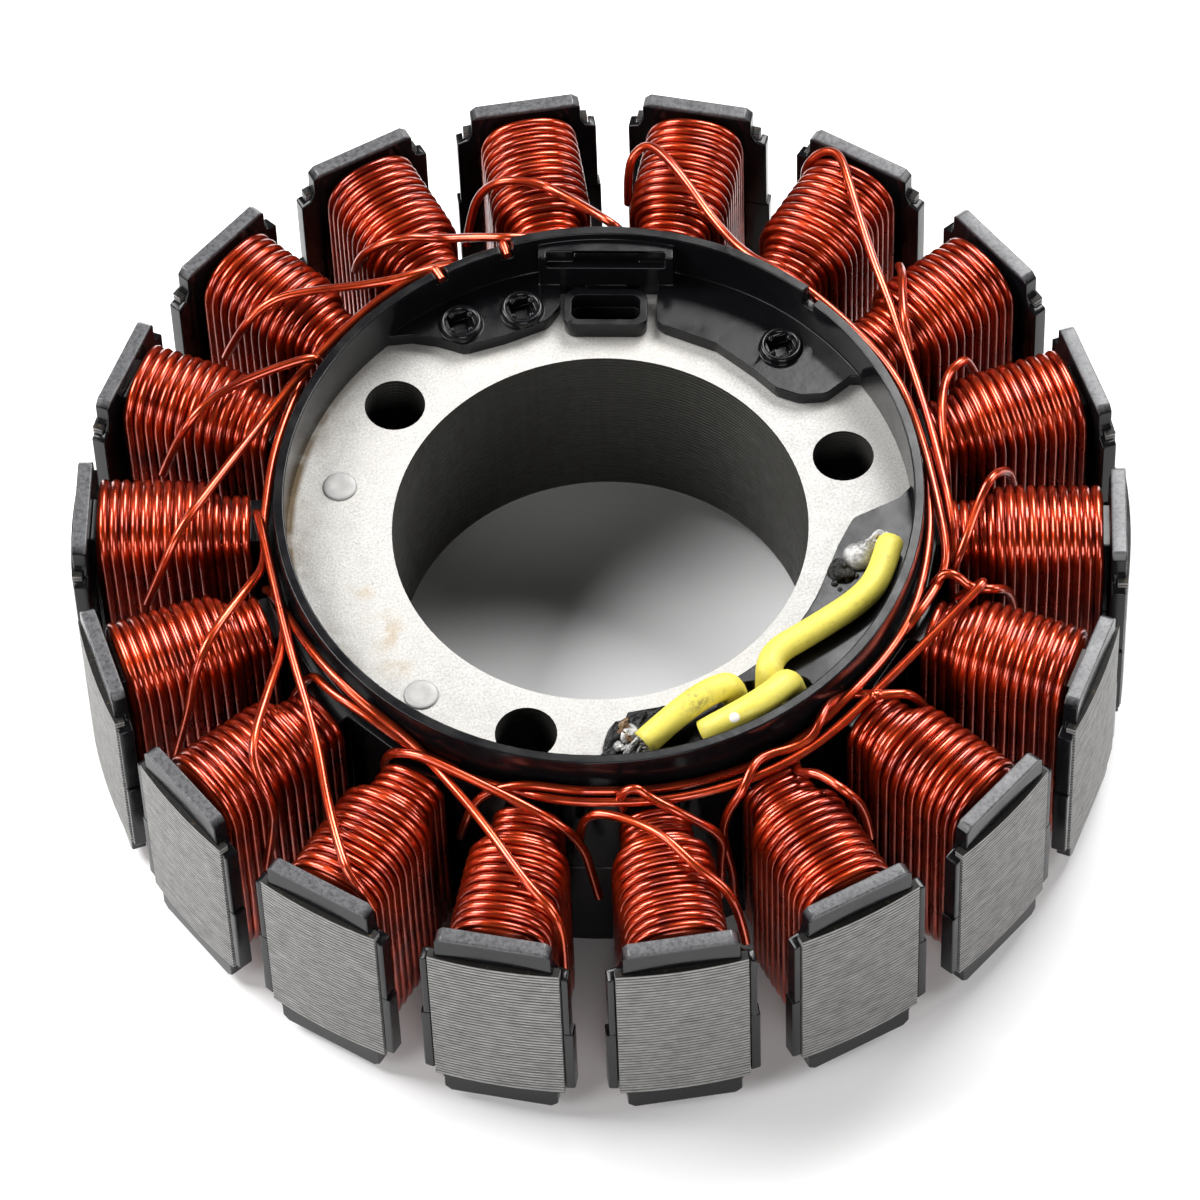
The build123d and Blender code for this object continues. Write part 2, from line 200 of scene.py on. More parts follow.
camera = look_from(azimuth=-16.644, elevation=55.476, roll=-2.411, distance=817.983,
                   right_by=-0.5691, up_by=5.2668, lens=222.81)
print("camera at", [round(v, 3) for v in camera.location])

# %% [markdown]
# ## The studio
# A pale floor under the lower collar and five square panels of soft light. The
# photograph shows two rows of highlights over each coil, so two strong panels stand
# high behind the part, one at each side. Three weak ones light the walls: the shoes
# in front and the slots at the left and right.

# %% Floor
FLOOR_HALF = 1500
FLOOR_POINTS = 5


def plain_floor():
    """A wide flat grid just under the lowest point of the part."""
    side = np.linspace(-FLOOR_HALF, FLOOR_HALF, FLOOR_POINTS)
    x, y = np.meshgrid(side, side, indexing="ij")
    z = np.full_like(x, cad_box[0][2] / MM)
    floor_paint = bpy.data.materials.new("floor_paint")
    floor_paint.use_nodes = True
    shader = floor_paint.node_tree.nodes["Principled BSDF"]
    shader.inputs["Base Color"].default_value = (0.88, 0.88, 0.88, 1)
    shader.inputs["Roughness"].default_value = 0.9
    points = np.stack([x, y, z], axis=-1).reshape(-1, 3)
    faces = grid_faces(FLOOR_POINTS, FLOOR_POINTS, wrap_cols=False)
    floor = make_piece("floor", [(points, [faces])], floor_paint)
    return floor


floor = plain_floor()
print("floor points:", len(floor.data.vertices), "at z =", round(cad_box[0][2], 4))

# %% [markdown]
# Each panel is an area light that faces the middle of the part. The world adds a
# trace of white from all round, so no shadow goes quite black.

# %% Lights and world
PANELS = {
    "key_behind_right": ((0.60, 0.62, 0.95), 0.60, 19.0),
    "key_behind_left": ((-0.66, 0.52, 0.92), 0.60, 18.5),
    "left_side": ((-1.00, -0.20, 0.50), 0.50, 6.0),
    "right_side": ((1.00, -0.15, 0.50), 0.50, 6.0),
    "front": ((-0.20, -1.10, 0.55), 0.60, 7.0),
}
MIDDLE = Vector((0, 0, 0.012))


def panel_light(name, spot, size, power):
    """A square light that faces the middle of the part."""
    data = bpy.data.lights.new(name, "AREA")
    data.shape = "SQUARE"
    data.size = size
    data.energy = power
    lamp = new_object(name, data)
    lamp.location = spot
    lamp.rotation_euler = (MIDDLE - Vector(spot)).to_track_quat("-Z", "Y").to_euler()


for name, (spot, size, power) in PANELS.items():
    panel_light(name, spot, size, power)
world = bpy.data.worlds.new("studio")
world.use_nodes = True
world.node_tree.nodes["Background"].inputs["Color"].default_value = (1, 1, 1, 1)
world.node_tree.nodes["Background"].inputs["Strength"].default_value = 0.06
bpy.context.scene.world = world
bpy.context.scene.view_settings.view_transform = "Standard"
print("lights:", list(PANELS))

# %% [markdown]
# ## Finishes
# Each finish is a small node tree. Colour that varies comes from noise on Object
# coordinates, which are the part's own metres, so it keeps its scale and place.
# The first helper holds the plain steps: noise, greys, sums and mixes.

# %% Steps of a node tree
class Tree:
    """A material whose nodes are added and wired one by one."""

    def __init__(self, name):
        self.material = bpy.data.materials.new(name)
        self.material.use_nodes = True
        self.tree = self.material.node_tree
        self.shader = self.tree.nodes["Principled BSDF"]
        self.coords = self.add("ShaderNodeTexCoord").outputs["Object"]

    def add(self, kind, **settings):
        """A node of that kind, with its settings."""
        node = self.tree.nodes.new(kind)
        for key, value in settings.items():
            setattr(node, key, value)
        return node

    def feed(self, socket, value):
        """Puts a number or a colour on the socket, or links another node's output to it."""
        if isinstance(value, (int, float)):
            socket.default_value = value
        elif isinstance(value, tuple):
            socket.default_value = (*value, 1)
        else:
            self.tree.links.new(value, socket)

    def noise(self, scale, detail=3.0, rough=0.55, stretch=(1, 1, 1)):
        """Noise of that many cells a metre, stretched along the axes."""
        mapping = self.add("ShaderNodeMapping")
        mapping.inputs["Scale"].default_value = stretch
        self.feed(mapping.inputs["Vector"], self.coords)
        node = self.add("ShaderNodeTexNoise")
        node.inputs["Scale"].default_value = scale
        node.inputs["Detail"].default_value = detail
        node.inputs["Roughness"].default_value = rough
        self.feed(node.inputs["Vector"], mapping.outputs["Vector"])
        return node.outputs["Fac"]

    def grey(self, value, start, end, low=0.0, high=1.0):
        """The low level up to start, the high one from end on, and a straight line between."""
        node = self.add("ShaderNodeValToRGB")
        for element, spot, level in zip(node.color_ramp.elements, (start, end), (low, high)):
            element.position = spot
            element.color = (level, level, level, 1)
        self.feed(node.inputs["Fac"], value)
        return node.outputs["Color"]

    def clouds(self, scale, detail, start, end, low=0.0, high=1.0, rough=0.55):
        """Noise turned to greys, for soft-edged patches."""
        return self.grey(self.noise(scale, detail, rough), start, end, low, high)

    def maths(self, operation, *values):
        """One sum on one or two values."""
        node = self.add("ShaderNodeMath", operation=operation)
        for socket, value in zip(node.inputs, values):
            self.feed(socket, value)
        return node.outputs["Value"]

    def times(self, first, *others):
        """The product of all the values."""
        for other in others:
            first = self.maths("MULTIPLY", first, other)
        return first

    def most(self, first, *others):
        """The greatest of the values."""
        for other in others:
            first = self.maths("MAXIMUM", first, other)
        return first

    def mix(self, amount, first, second):
        """The first colour, turning to the second as amount goes to 1."""
        node = self.add("ShaderNodeMix", data_type="RGBA")
        for socket, value in (("Factor", amount), ("A", first), ("B", second)):
            self.feed(node.inputs[socket], value)
        return node.outputs["Result"]


print("class", Tree.__name__, "is ready")

# %% [markdown]
# A mark that sits in one place is masked by its height, its distance from the bore
# axis or its distance from a spot. The second helper adds those masks and the links
# into the shader.

# %% Masks and shader links
class Finish(Tree):
    """A material with masks in millimetres and short ways to the shader's sockets."""

    def split(self):
        """The X, Y and Z of the Object coordinates, in metres."""
        node = self.add("ShaderNodeSeparateXYZ")
        self.feed(node.inputs["Vector"], self.coords)
        return node.outputs["X"], node.outputs["Y"], node.outputs["Z"]

    def radius(self):
        """Distance from the bore axis, sqrt(x * x + y * y), in metres."""
        x, y, _ = self.split()
        return self.maths("SQRT", self.maths("ADD", self.times(x, x), self.times(y, y)))

    def above(self, value, start, full, low=0.0, high=1.0):
        """0 up to the start and 1 from full on, both in millimetres."""
        rise = self.maths("SUBTRACT", value, start * MM)
        return self.grey(self.times(rise, 1 / ((full - start) * MM)), 0.0, 1.0, low, high)

    def below(self, value, full, end):
        """1 up to full and 0 from the end on, both in millimetres."""
        return self.above(value, full, end, 1.0, 0.0)

    def near(self, spot, inner, outer):
        """1 within the inner distance of a spot and 0 beyond the outer one, in millimetres."""
        gap = self.add("ShaderNodeVectorMath", operation="DISTANCE")
        self.feed(gap.inputs[0], self.coords)
        gap.inputs[1].default_value = [c * MM for c in spot]
        return self.grey(self.times(gap.outputs["Value"], 1 / (outer * MM)), inner / outer, 1.0, 1.0, 0.0)

    def paint(self, colour):
        """The shader's colour."""
        self.feed(self.shader.inputs["Base Color"], colour)

    def polish(self, scale, detail, start, end, low, high):
        """The shader's roughness, in clouds between two levels."""
        self.feed(self.shader.inputs["Roughness"], self.clouds(scale, detail, start, end, low, high))

    def bump(self, height, depth, strength=1.0):
        """Bump of that depth in metres."""
        node = self.add("ShaderNodeBump")
        node.inputs["Distance"].default_value = depth
        node.inputs["Strength"].default_value = strength
        self.feed(node.inputs["Height"], height)
        self.feed(self.shader.inputs["Normal"], node.outputs["Normal"])

    def set(self, **values):
        """Constant values straight on the shader's own sockets, with _ for a space."""
        for key, value in values.items():
            self.shader.inputs[key.replace("_", " ")].default_value = value


print("class", Finish.__name__, "is ready")

# %% [markdown]
# ### Enamelled wire
# The wire is copper under clear red-brown enamel. Seen at once, that is a metal
# with a warm tint and a hard gloss coat: bright orange where it faces the light
# and almost black red in the shade. Noise makes the enamel thicker here and there.

# %% Enamel
def enamel(name, dark, light):
    """Metal of two reds in clouds, under a clear coat."""
    f = Finish(name)
    f.paint(f.mix(f.clouds(260, 3, 0.3, 0.7), dark, light))
    f.polish(350, 2, 0.3, 0.8, 0.26, 0.36)
    f.bump(f.noise(180, 1), 0.00003, 0.06)
    f.set(Metallic=0.9, Coat_Weight=0.85, Coat_Roughness=0.11, Coat_IOR=1.5)
    return f.material


coil_enamel = enamel("coil_enamel", (0.20, 0.011, 0.002), (0.56, 0.050, 0.007))
crossover_enamel = enamel("crossover_enamel", (0.30, 0.020, 0.004), (0.60, 0.066, 0.012))
print("enamel nodes:", len(coil_enamel.node_tree.nodes))

# %% [markdown]
# ### Black moulding
# The caps are moulded in glass-filled plastic: glossy black with a faint orange
# peel. The tops of the tabs are rough and worn grey, and part of that grey is a
# painted sheen of the lights. Between the coils almost no light comes back, so the
# base colour there is darker still, as painted shade.

# %% Moulding
def moulding(name):
    """Black in clouds, with painted shade in the slots; dust turns it grey, and so do wear and a painted
    sheen on the tabs' tops.
    """
    f = Finish(name)
    _, _, z = f.split()
    radius = f.radius()
    base = f.mix(f.noise(120, 5), (0.0022, 0.0022, 0.0027), (0.0055, 0.0055, 0.0065))
    # painted shade: the base goes blacker in the slots between the coils, where little light comes back
    slots = f.times(f.above(radius, 35.5, 36.5), f.below(radius, 53.0, 54.0), f.below(z, 23.4, 24.4))
    base = f.mix(slots, base, (0.0005, 0.0005, 0.0006))
    dust = f.clouds(1100, 6, 0.66, 0.85, high=0.08, rough=0.7)
    tops = f.times(f.above(radius, 50.0, 51.0), f.above(z, 26.2, 26.9), f.below(z, 28.5, 29.2))
    # the tabs' tops are worn grey, and part of that grey is a painted sheen of the lights
    rub_and_sheen = f.times(tops, f.clouds(2400, 5, 0.30, 0.58, low=0.30, rough=0.7))
    f.paint(f.mix(f.most(rub_and_sheen, dust), base, (0.12, 0.12, 0.125)))
    f.polish(300, 4, 0.3, 0.75, 0.12, 0.27)
    f.bump(f.noise(700, 2), 0.00003, 0.25)
    f.set(Specular_IOR_Level=0.25)
    return f.material


black_moulding = moulding("black_moulding")
print("moulding nodes:", len(black_moulding.node_tree.nodes))

# %% [markdown]
# ### Steel
# The stack shows two kinds of steel. Its outside is the cut edge of every sheet,
# mid grey with a dark line at each joint. Its faces are the rolled surface of the
# end sheets, pale and sandy, with a brown strip along the collar and a few tan
# streaks. One material does both, because height tells face from edge.

# %% Steel
STREAKS = (
    ((-26.4, 0.8, STACK), 0.2, 2.0),
    ((-25.6, -5.6, STACK), 0.4, 3.4),
    ((-26.4, -9.9, STACK), 0.4, 2.4),
)


def sheet_face(f, x, radius):
    """The rolled face: sand, then stains by the collar, streaks and specks, and glue round the shoes."""
    face = f.mix(f.clouds(3600, 3, 0.34, 0.66, rough=0.65), (0.330, 0.322, 0.308), (0.495, 0.487, 0.471))
    face = f.mix(f.clouds(60, 3, 0.35, 0.65, high=0.35), face, (0.47, 0.448, 0.41))
    left = f.below(x, -28.667, -12.0)
    stain = f.times(f.clouds(150, 5, 0.50, 0.62, high=0.45, rough=0.65), left, f.above(radius, 30.0, 33.2))
    strip = f.times(f.clouds(420, 5, 0.28, 0.5, 0.35, 0.97), left, f.above(radius, 32.7, 33.3))
    face = f.mix(f.most(stain, strip), face, (0.10, 0.062, 0.022))
    streaks = f.most(*[f.near(*streak) for streak in STREAKS])
    face = f.mix(f.times(streaks, f.clouds(330, 5, 0.46, 0.60, high=0.6)), face, (0.33, 0.25, 0.15))
    face = f.mix(f.times(left, f.clouds(1700, 2, 0.74, 0.78, high=0.9)), face, (0.05, 0.035, 0.025))
    glue = f.mix(f.clouds(1500, 4, 0.60, 0.70), (0.008, 0.007, 0.006), (0.08, 0.052, 0.02))
    return f.mix(f.above(radius, 54.5, 55.0), face, glue)


def sheet_edges(f, z, radius):
    """The cut edges, with a dark line where the height over the sheet's thickness is near a whole number, and
    painted shade on the walls of the holes and the bore.
    """
    line = f.maths("FRACT", f.times(z, SHEETS / STACK / MM))
    joint = f.grey(f.maths("ABSOLUTE", f.maths("SUBTRACT", line, 0.5)), 0.24, 0.42)
    tone = f.grey(f.noise(1300, 4, 0.6, (0.5, 0.5, 1)), 0.3, 0.7)
    edge = f.mix(tone, (0.17, 0.167, 0.161), (0.29, 0.285, 0.276))
    edge = f.mix(f.clouds(900, 5, 0.58, 0.80, high=0.6, rough=0.7), edge, (0.10, 0.09, 0.075))
    edge = f.mix(joint, edge, (0.010, 0.010, 0.009))
    # painted shade: the walls of the bolt holes, the lead slot and the port are drawn near black
    edge = f.mix(f.below(radius, 34.0, 34.5), edge, (0.016, 0.015, 0.013))
    # the bore: brushed grain, darkened as painted shade
    brushed_and_shade = f.mix(f.noise(2200, 3, 0.6, (1, 1, 0.04)), (0.014, 0.0135, 0.011), (0.030, 0.029, 0.024))
    return f.mix(f.below(radius, 22.7, 23.2), edge, brushed_and_shade)


def sheet_steel(name):
    """Face colour at the top and the foot of the stack, edge colour at every height between."""
    f = Finish(name)
    x, _, z = f.split()
    radius = f.radius()
    off_middle = f.maths("ABSOLUTE", f.maths("SUBTRACT", z, STACK / 2 * MM))
    on_face = f.above(off_middle, STACK / 2 - 0.06, STACK / 2 - 0.01)
    f.paint(f.mix(on_face, sheet_edges(f, z, radius), sheet_face(f, x, radius)))
    f.polish(700, 4, 0.3, 0.7, 0.52, 0.68)
    f.bump(f.noise(3600, 3, 0.65), 0.00006, 0.6)
    f.set(Metallic=0.35)
    return f.material


steel = sheet_steel("sheet_steel")
print("steel nodes:", len(steel.node_tree.nodes))

# %% [markdown]
# ### Sleeve, solder and resin
# The sleeves are soft yellow plastic with one grimy patch and one white spot. The
# solder is dull and grainy, and the resin and the sealant are rough and black.
# The rivets are the same grey steel as the sheets, a little smoother.

# %% Sleeve, solder and resin
GRIMY_SPOT = (1.3, -28.4, 29.3)
WHITE_SPOT = (4.2, -31.96, 29.35)


def sleeve_finish(name):
    """Yellow with grime in clouds, thicker near one spot, and white paint on another."""
    f = Finish(name)
    base = f.mix(f.noise(260, 4), (0.60, 0.50, 0.060), (0.70, 0.60, 0.105))
    grime = f.clouds(900, 6, 0.56, 0.80, high=0.6, rough=0.75)
    patch = f.times(f.near(GRIMY_SPOT, 0.6, 2.6), f.clouds(1500, 6, 0.46, 0.60, high=0.85, rough=0.8))
    colour = f.mix(f.most(grime, patch), base, (0.20, 0.155, 0.05))
    f.paint(f.mix(f.near(WHITE_SPOT, 0.5, 0.62), colour, (0.80, 0.79, 0.74)))
    f.polish(600, 3, 0.3, 0.7, 0.42, 0.62)
    f.bump(f.noise(1600, 4), 0.00010, 0.6)
    f.set(Subsurface_Weight=0.05)
    return f.material


def solder_finish(name):
    """Dull metal, with one fine noise for both its colour and its bump."""
    f = Finish(name)
    grain = f.noise(1500, 5, 0.7)
    f.paint(f.mix(f.grey(grain, 0.35, 0.65), (0.20, 0.195, 0.19), (0.52, 0.51, 0.50)))
    f.polish(1200, 4, 0.3, 0.7, 0.30, 0.55)
    f.bump(grain, 0.00025, 0.7)
    f.set(Metallic=0.6)
    return f.material


def rivet_finish(name):
    """Plain steel with a fine grain."""
    f = Finish(name)
    f.paint(f.mix(f.noise(1100, 4, 0.6), (0.27, 0.266, 0.258), (0.38, 0.375, 0.366)))
    f.polish(900, 3, 0.3, 0.7, 0.45, 0.60)
    f.bump(f.noise(1300, 3), 0.00004, 0.5)
    f.set(Metallic=0.35)
    return f.material


def resin_finish(name, dark, light):
    """Two colours in clouds over a rough, deeply bumped skin."""
    f = Finish(name)
    f.paint(f.mix(f.clouds(1300, 5, 0.40, 0.75), dark, light))
    f.polish(1500, 4, 0.3, 0.7, 0.10, 0.45)
    f.bump(f.noise(1100, 5, 0.65), 0.0005, 0.8)
    f.set(Specular_IOR_Level=0.35)
    return f.material


yellow_sleeve = sleeve_finish("yellow_sleeve")
bright_solder = solder_finish("bright_solder")
rivet_steel = rivet_finish("rivet_steel")
burnt_resin = resin_finish("burnt_resin", (0.003, 0.003, 0.003), (0.012, 0.009, 0.007))
brown_resin = resin_finish("brown_resin", (0.10, 0.045, 0.015), (0.33, 0.24, 0.15))
black_sealant = resin_finish("black_sealant", (0.003, 0.003, 0.0035), (0.008, 0.008, 0.009))
small = (yellow_sleeve, bright_solder, rivet_steel, burnt_resin, brown_resin, black_sealant)
print("finishes:", [finish.name for finish in small])

# %% [markdown]
# ## The coils
# A coil is one long wire wound round a tooth. A cheap way is a ridged block, but
# its turns never cross or catch the light as wire does. So it is modelled as what
# it is: a path that goes round a soft-cornered loop again and again while it creeps
# outwards, with a round section carried along it.

# %% The loop of one turn
COVER_HALF = 2.7
COVER_T = 0.8
WIRE_GAP = 0.12
ARCH_STEPS = 18
ARCH_POWER = 2.35
ARCH_RISE = 1.9
ARCH_GROWTH = 1.2


def loop_shape():
    """One turn as (angle, fall) steps: over the top arch, down one side, under the bottom arch and up.

    The angle goes round with the arches and stays along a side. The fall is 0 on the top arch and 1 on
    the bottom one.
    """
    arch = np.linspace(0, 180, ARCH_STEPS)
    over = np.stack([arch, np.zeros(ARCH_STEPS)], axis=-1)
    under = over + [180, 1]
    left, right = np.array([[180, 0.33], [180, 0.67]]), np.array([[360, 0.67], [360, 0.33]])
    half = ARCH_STEPS // 2
    return np.concatenate([under[half:], right, over, left, under[:half]])


def loop_line(depth, angle, fall):
    """Where the wire's centre runs, and its outward direction, for its depth off the cover.

    An arch is half a superellipse, |y / w| ** n + |z / b| ** n = 1, so it has no kink where it meets
    the straight sides. Its width w and rise b both grow with the depth.
    """
    w = COVER_HALF + WIRE_GAP + depth
    b = ARCH_RISE + ARCH_GROWTH * depth
    straight = STACK / 2 + COVER_T + WIRE_GAP + depth - b
    c, s = np.cos(np.radians(angle)), np.sin(np.radians(angle))
    power = 2 / ARCH_POWER
    y = w * np.sign(c) * np.abs(c) ** power
    z = b * np.sign(s) * np.abs(s) ** power
    out_y = np.sign(c) * np.abs(c) ** (2 - power) / w
    out_z = np.sign(s) * np.abs(s) ** (2 - power) / b
    size = np.hypot(out_y, out_z)
    return y, z + (1 - 2 * fall) * straight, out_y / size, out_z / size


print("steps in a turn:", len(loop_shape()))

# %% [markdown]
# The first turns by the hub lie straight on the cover, and the rest lie on two more
# layers, so the loop steps up there. No two turns lie quite alike: each is moved at
# random by a few hundredths of a millimetre, from a fixed seed, and at both ends
# the wire dips under its neighbours.

# %% The wire of one coil
NARROW_FROM, NARROW_TURNS, NARROW_PITCH = 37.6, 5, 1.05
WIDE_FROM, WIDE_TURNS, WIDE_PITCH = 42.35, 11, 1.16
LAYER = 0.85
STEP_DEPTHS = (0.9, 1.9)
TURN_SLACK = 0.05
SWAY = 0.02
SWAYS_PER_TURN = 4
END_DIP = 0.6
END_DIP_TURNS = 1 / 6
WIRE_SIDES = 10
BACKING_IN = 0.3


def wire_turns(rng):
    """For each turn: its place along the tooth and how far its centre lies off the cover."""
    narrow = NARROW_FROM + np.arange(NARROW_TURNS) * NARROW_PITCH
    wide = WIDE_FROM + np.arange(WIDE_TURNS) * WIDE_PITCH
    x = np.concatenate([narrow, wide])
    low, high = WIRE / 2, WIRE / 2 + 2 * LAYER * WIRE
    depth = np.concatenate([np.full(NARROW_TURNS, low), np.full(WIDE_TURNS, high)])
    depth[NARROW_TURNS - 1: NARROW_TURNS + 1] = STEP_DEPTHS
    depth = np.clip(depth + rng.normal(0, TURN_SLACK, len(x)), low, high)
    return x + rng.normal(0, TURN_SLACK, len(x)), depth


def winding(rng, x, off_cover):
    """Rings of the wire's section, square to the loop, along every turn."""
    shape = loop_shape()
    steps, turns = len(shape), len(x)
    t = np.arange((turns - 1) * steps + 1) / steps
    along = np.interp(t, np.arange(turns), x)
    depth = np.interp(t, np.arange(turns), off_cover)
    depth -= END_DIP * np.clip(1 - np.minimum(t, t[-1] - t) / END_DIP_TURNS, 0, 1)
    angle, fall = np.tile(shape, (turns, 1))[: len(t)].T
    y, z, out_y, out_z = loop_line(depth, angle, fall)
    sways = SWAYS_PER_TURN * turns
    along = along + np.interp(t * SWAYS_PER_TURN, np.arange(sways), rng.normal(0, SWAY, sways))
    centre = np.stack([along, y, z + STACK / 2], axis=-1)
    outward = np.stack([np.zeros_like(t), out_y, out_z], axis=-1)
    sideways = np.array([-1.0, 0, 0])
    around = np.radians(np.arange(WIRE_SIDES) * 360 / WIRE_SIDES)[None, :, None]
    return centre[:, None] + WIRE / 2 * (np.cos(around) * outward[:, None] + np.sin(around) * sideways)


def backing(x, off_cover):
    """The layers under the outer turns: a closed block that follows the turns a little way in."""
    angle, fall = loop_shape().T[:, None, :]
    y, z, _, _ = loop_line(off_cover[:, None] - BACKING_IN, angle, fall)
    return np.stack([np.broadcast_to(x[:, None], y.shape), y, z + STACK / 2], axis=-1)


print("turns that show on a coil:", NARROW_TURNS + WIDE_TURNS)

# %% [markdown]
# Eighteen coils are wound along +X, each from its own seed, and then turned to
# their teeth. The turning is done on the points, so every object stays at the
# origin.

# %% Wind all the coils
COIL_SEED = 40


def make_coil(number):
    """One coil, turned to its tooth, in place of its CAD solid."""
    rng = np.random.default_rng(COIL_SEED + number)
    x, off_cover = wire_turns(rng)
    shells = [closed_tube(winding(rng, x, off_cover)), closed_tube(backing(x, off_cover))]
    turn = 360 / POLES * (number - 1)
    shells = [(turned(points, turn), faces) for points, faces in shells]
    coil = make_piece(f"winding_{number:02d}", shells, coil_enamel)
    return place(coil, "enamelled_wire", f"coil_{number:02d}")


coils = [make_coil(number) for number in range(1, POLES + 1)]
print("coils:", len(coils), "faces each:", len(coils[0].data.polygons))

# %% [markdown]
# ## The stack of sheets
# Forty-four punched sheets lie on each other. One texture could draw their lines,
# but at the rim of a shoe the real edge is ribbed. So every wall of the stack,
# outside and in the bore, is one outline repeated down the height and drawn in a
# little at each joint. First come the outlines of a sheet and its holes.

# %% Outlines of the sheets
CORE_R = 57.0
YOKE_R = 35.5
SHOE_IN = 55.5
SHOE_W = 14.0
TOOTH_W = 4.2
SHOE_CUT = 0.3
ARC_POINTS = 9


def tooth_outline():
    """One tooth and its shoe from slot to slot, as the angle grows: neck, step, arc, step, neck."""
    half = math.radians(180 / POLES)
    neck = TOOTH_W / 2
    root_x = (YOKE_R - neck * math.sin(half)) / math.cos(half)
    tip = math.asin(SHOE_W / 2 / CORE_R)
    arc = np.linspace(-tip, tip, ARC_POINTS)
    start = [(root_x, -neck), (SHOE_IN - SHOE_CUT, -neck), (SHOE_IN, -neck - SHOE_CUT),
             (SHOE_IN, -SHOE_W / 2)]
    face = np.stack([CORE_R * np.cos(arc), CORE_R * np.sin(arc)], axis=-1)
    end = [(x, -y) for x, y in reversed(start)]
    return np.concatenate([start, face, end])


def sheet_outline():
    """All teeth, one after the other round the axis."""
    tooth = tooth_outline()
    angles = np.radians(np.arange(POLES) * 360 / POLES)
    x = tooth[None, :, 0] * np.cos(angles)[:, None] - tooth[None, :, 1] * np.sin(angles)[:, None]
    y = tooth[None, :, 0] * np.sin(angles)[:, None] + tooth[None, :, 1] * np.cos(angles)[:, None]
    return np.stack([x, y], axis=-1).reshape(-1, 2)


def circle(radius, count, centre=(0, 0)):
    """A closed ring of points."""
    a = np.arange(count) * 2 * np.pi / count
    return np.stack([centre[0] + radius * np.cos(a), centre[1] + radius * np.sin(a)], axis=-1)


def oblong(length, width, corner, centre, turn, steps=6):
    """A rounded rectangle: four quarter circles, turned and moved to its place."""
    a = np.radians(np.concatenate([np.linspace(s, s + 90, steps) for s in (0, 90, 180, 270)]))
    sx = np.repeat([1, -1, -1, 1], steps) * (length / 2 - corner)
    sy = np.repeat([1, 1, -1, -1], steps) * (width / 2 - corner)
    x, y = sx + corner * np.cos(a), sy + corner * np.sin(a)
    c, s = math.cos(math.radians(turn)), math.sin(math.radians(turn))
    return np.stack([centre[0] + x * c - y * s, centre[1] + x * s + y * c], axis=-1)


print("points in a sheet's outline:", len(sheet_outline()))

# %% [markdown]
# The end faces are flat, with holes in them. A grid can't fill such a face, so
# Blender's own triangle fill does it, between the outline and the holes.

# %% Walls and end faces
JOINT_ROWS = (0.04, 0.22, 0.78, 0.96)
JOINT_INSETS = (0.13, 0.0, 0.0, 0.13)
END_INSET = 0.03
PROUD = 0.02


def sheet_levels(rng):
    """Heights down the stack and how far the wall is drawn in at each: four rows to a sheet."""
    pitch = STACK / SHEETS
    base = np.arange(SHEETS)[:, None] * pitch
    z = (base + pitch * np.array(JOINT_ROWS)).ravel()
    z[0], z[-1] = 0.0, STACK
    proud = rng.uniform(0.0, PROUD, SHEETS)[:, None]
    inset = (proud + np.array(JOINT_INSETS)).ravel()
    inset[0] = inset[-1] = END_INSET
    return z, inset


def normals_2d(outline):
    """At each point, the mean of the two edges' outward directions, for an outline drawn anticlockwise."""
    edge = np.roll(outline, -1, axis=0) - outline
    side = np.stack([edge[:, 1], -edge[:, 0]], axis=-1)
    side /= np.linalg.norm(side, axis=1, keepdims=True)
    mean = side + np.roll(side, 1, axis=0)
    return mean / np.linalg.norm(mean, axis=1, keepdims=True)


def wall(outline, z, inset, outward):
    """A grid of the outline at each height, moved in by the inset; outward -1 makes the wall of a hole."""
    flat = outline[None] - outward * normals_2d(outline)[None] * inset[:, None, None]
    heights = np.broadcast_to(z[:, None, None], (len(z), len(outline), 1))
    return np.concatenate([flat, heights], axis=-1)


def filled(outlines):
    """Triangles between the first outline and the holes inside it, numbered through all outlines in turn."""
    shape = bmesh.new()
    for outline in outlines:
        corners = [shape.verts.new((x, y, 0)) for x, y in outline]
        for a, b in zip(corners, corners[1:] + corners[:1]):
            shape.edges.new((a, b))
    shape.verts.index_update()
    bmesh.ops.triangle_fill(shape, use_beauty=True, edges=shape.edges[:])
    triangles = np.array([[corner.index for corner in face.verts] for face in shape.faces])
    shape.free()
    return triangles


def face_up(points, triangles):
    """The same triangles, each turned so that it looks up."""
    a, b, c = (points[triangles[:, i]] for i in range(3))
    down = np.cross(b - a, c - a)[:, 2] < 0
    triangles = triangles.copy()
    triangles[down] = triangles[down][:, ::-1]
    return triangles


print("triangles that fill a square with a square hole:",
      len(filled([circle(2, 4), circle(1, 4)])))

# %% [markdown]
# The stack is then one closed mesh: the outer wall, the walls of the bore, the
# bolt holes, the lead slot and the wiring port, and the two end faces that join
# them.

# %% The stack
STACK_SEED = 7
BORE_R = 22.4
BORE_POINTS = 120
BOLT_HOLE_R = 3.3
BOLT_HOLE_POINTS = 32
BOLT_R = 27.75
BOLT_ANGLES = (0, 125, 235)
LEAD_SLOT_W = 3.4
LEAD_SLOT_CORNER = 1.6
PORT_TURN = 70
PORT_R = 27.7
PORT_W = 9.1
PORT_DEPTH = 4.9
PORT_WALL = 0.8
PORT_CORNER = 0.9


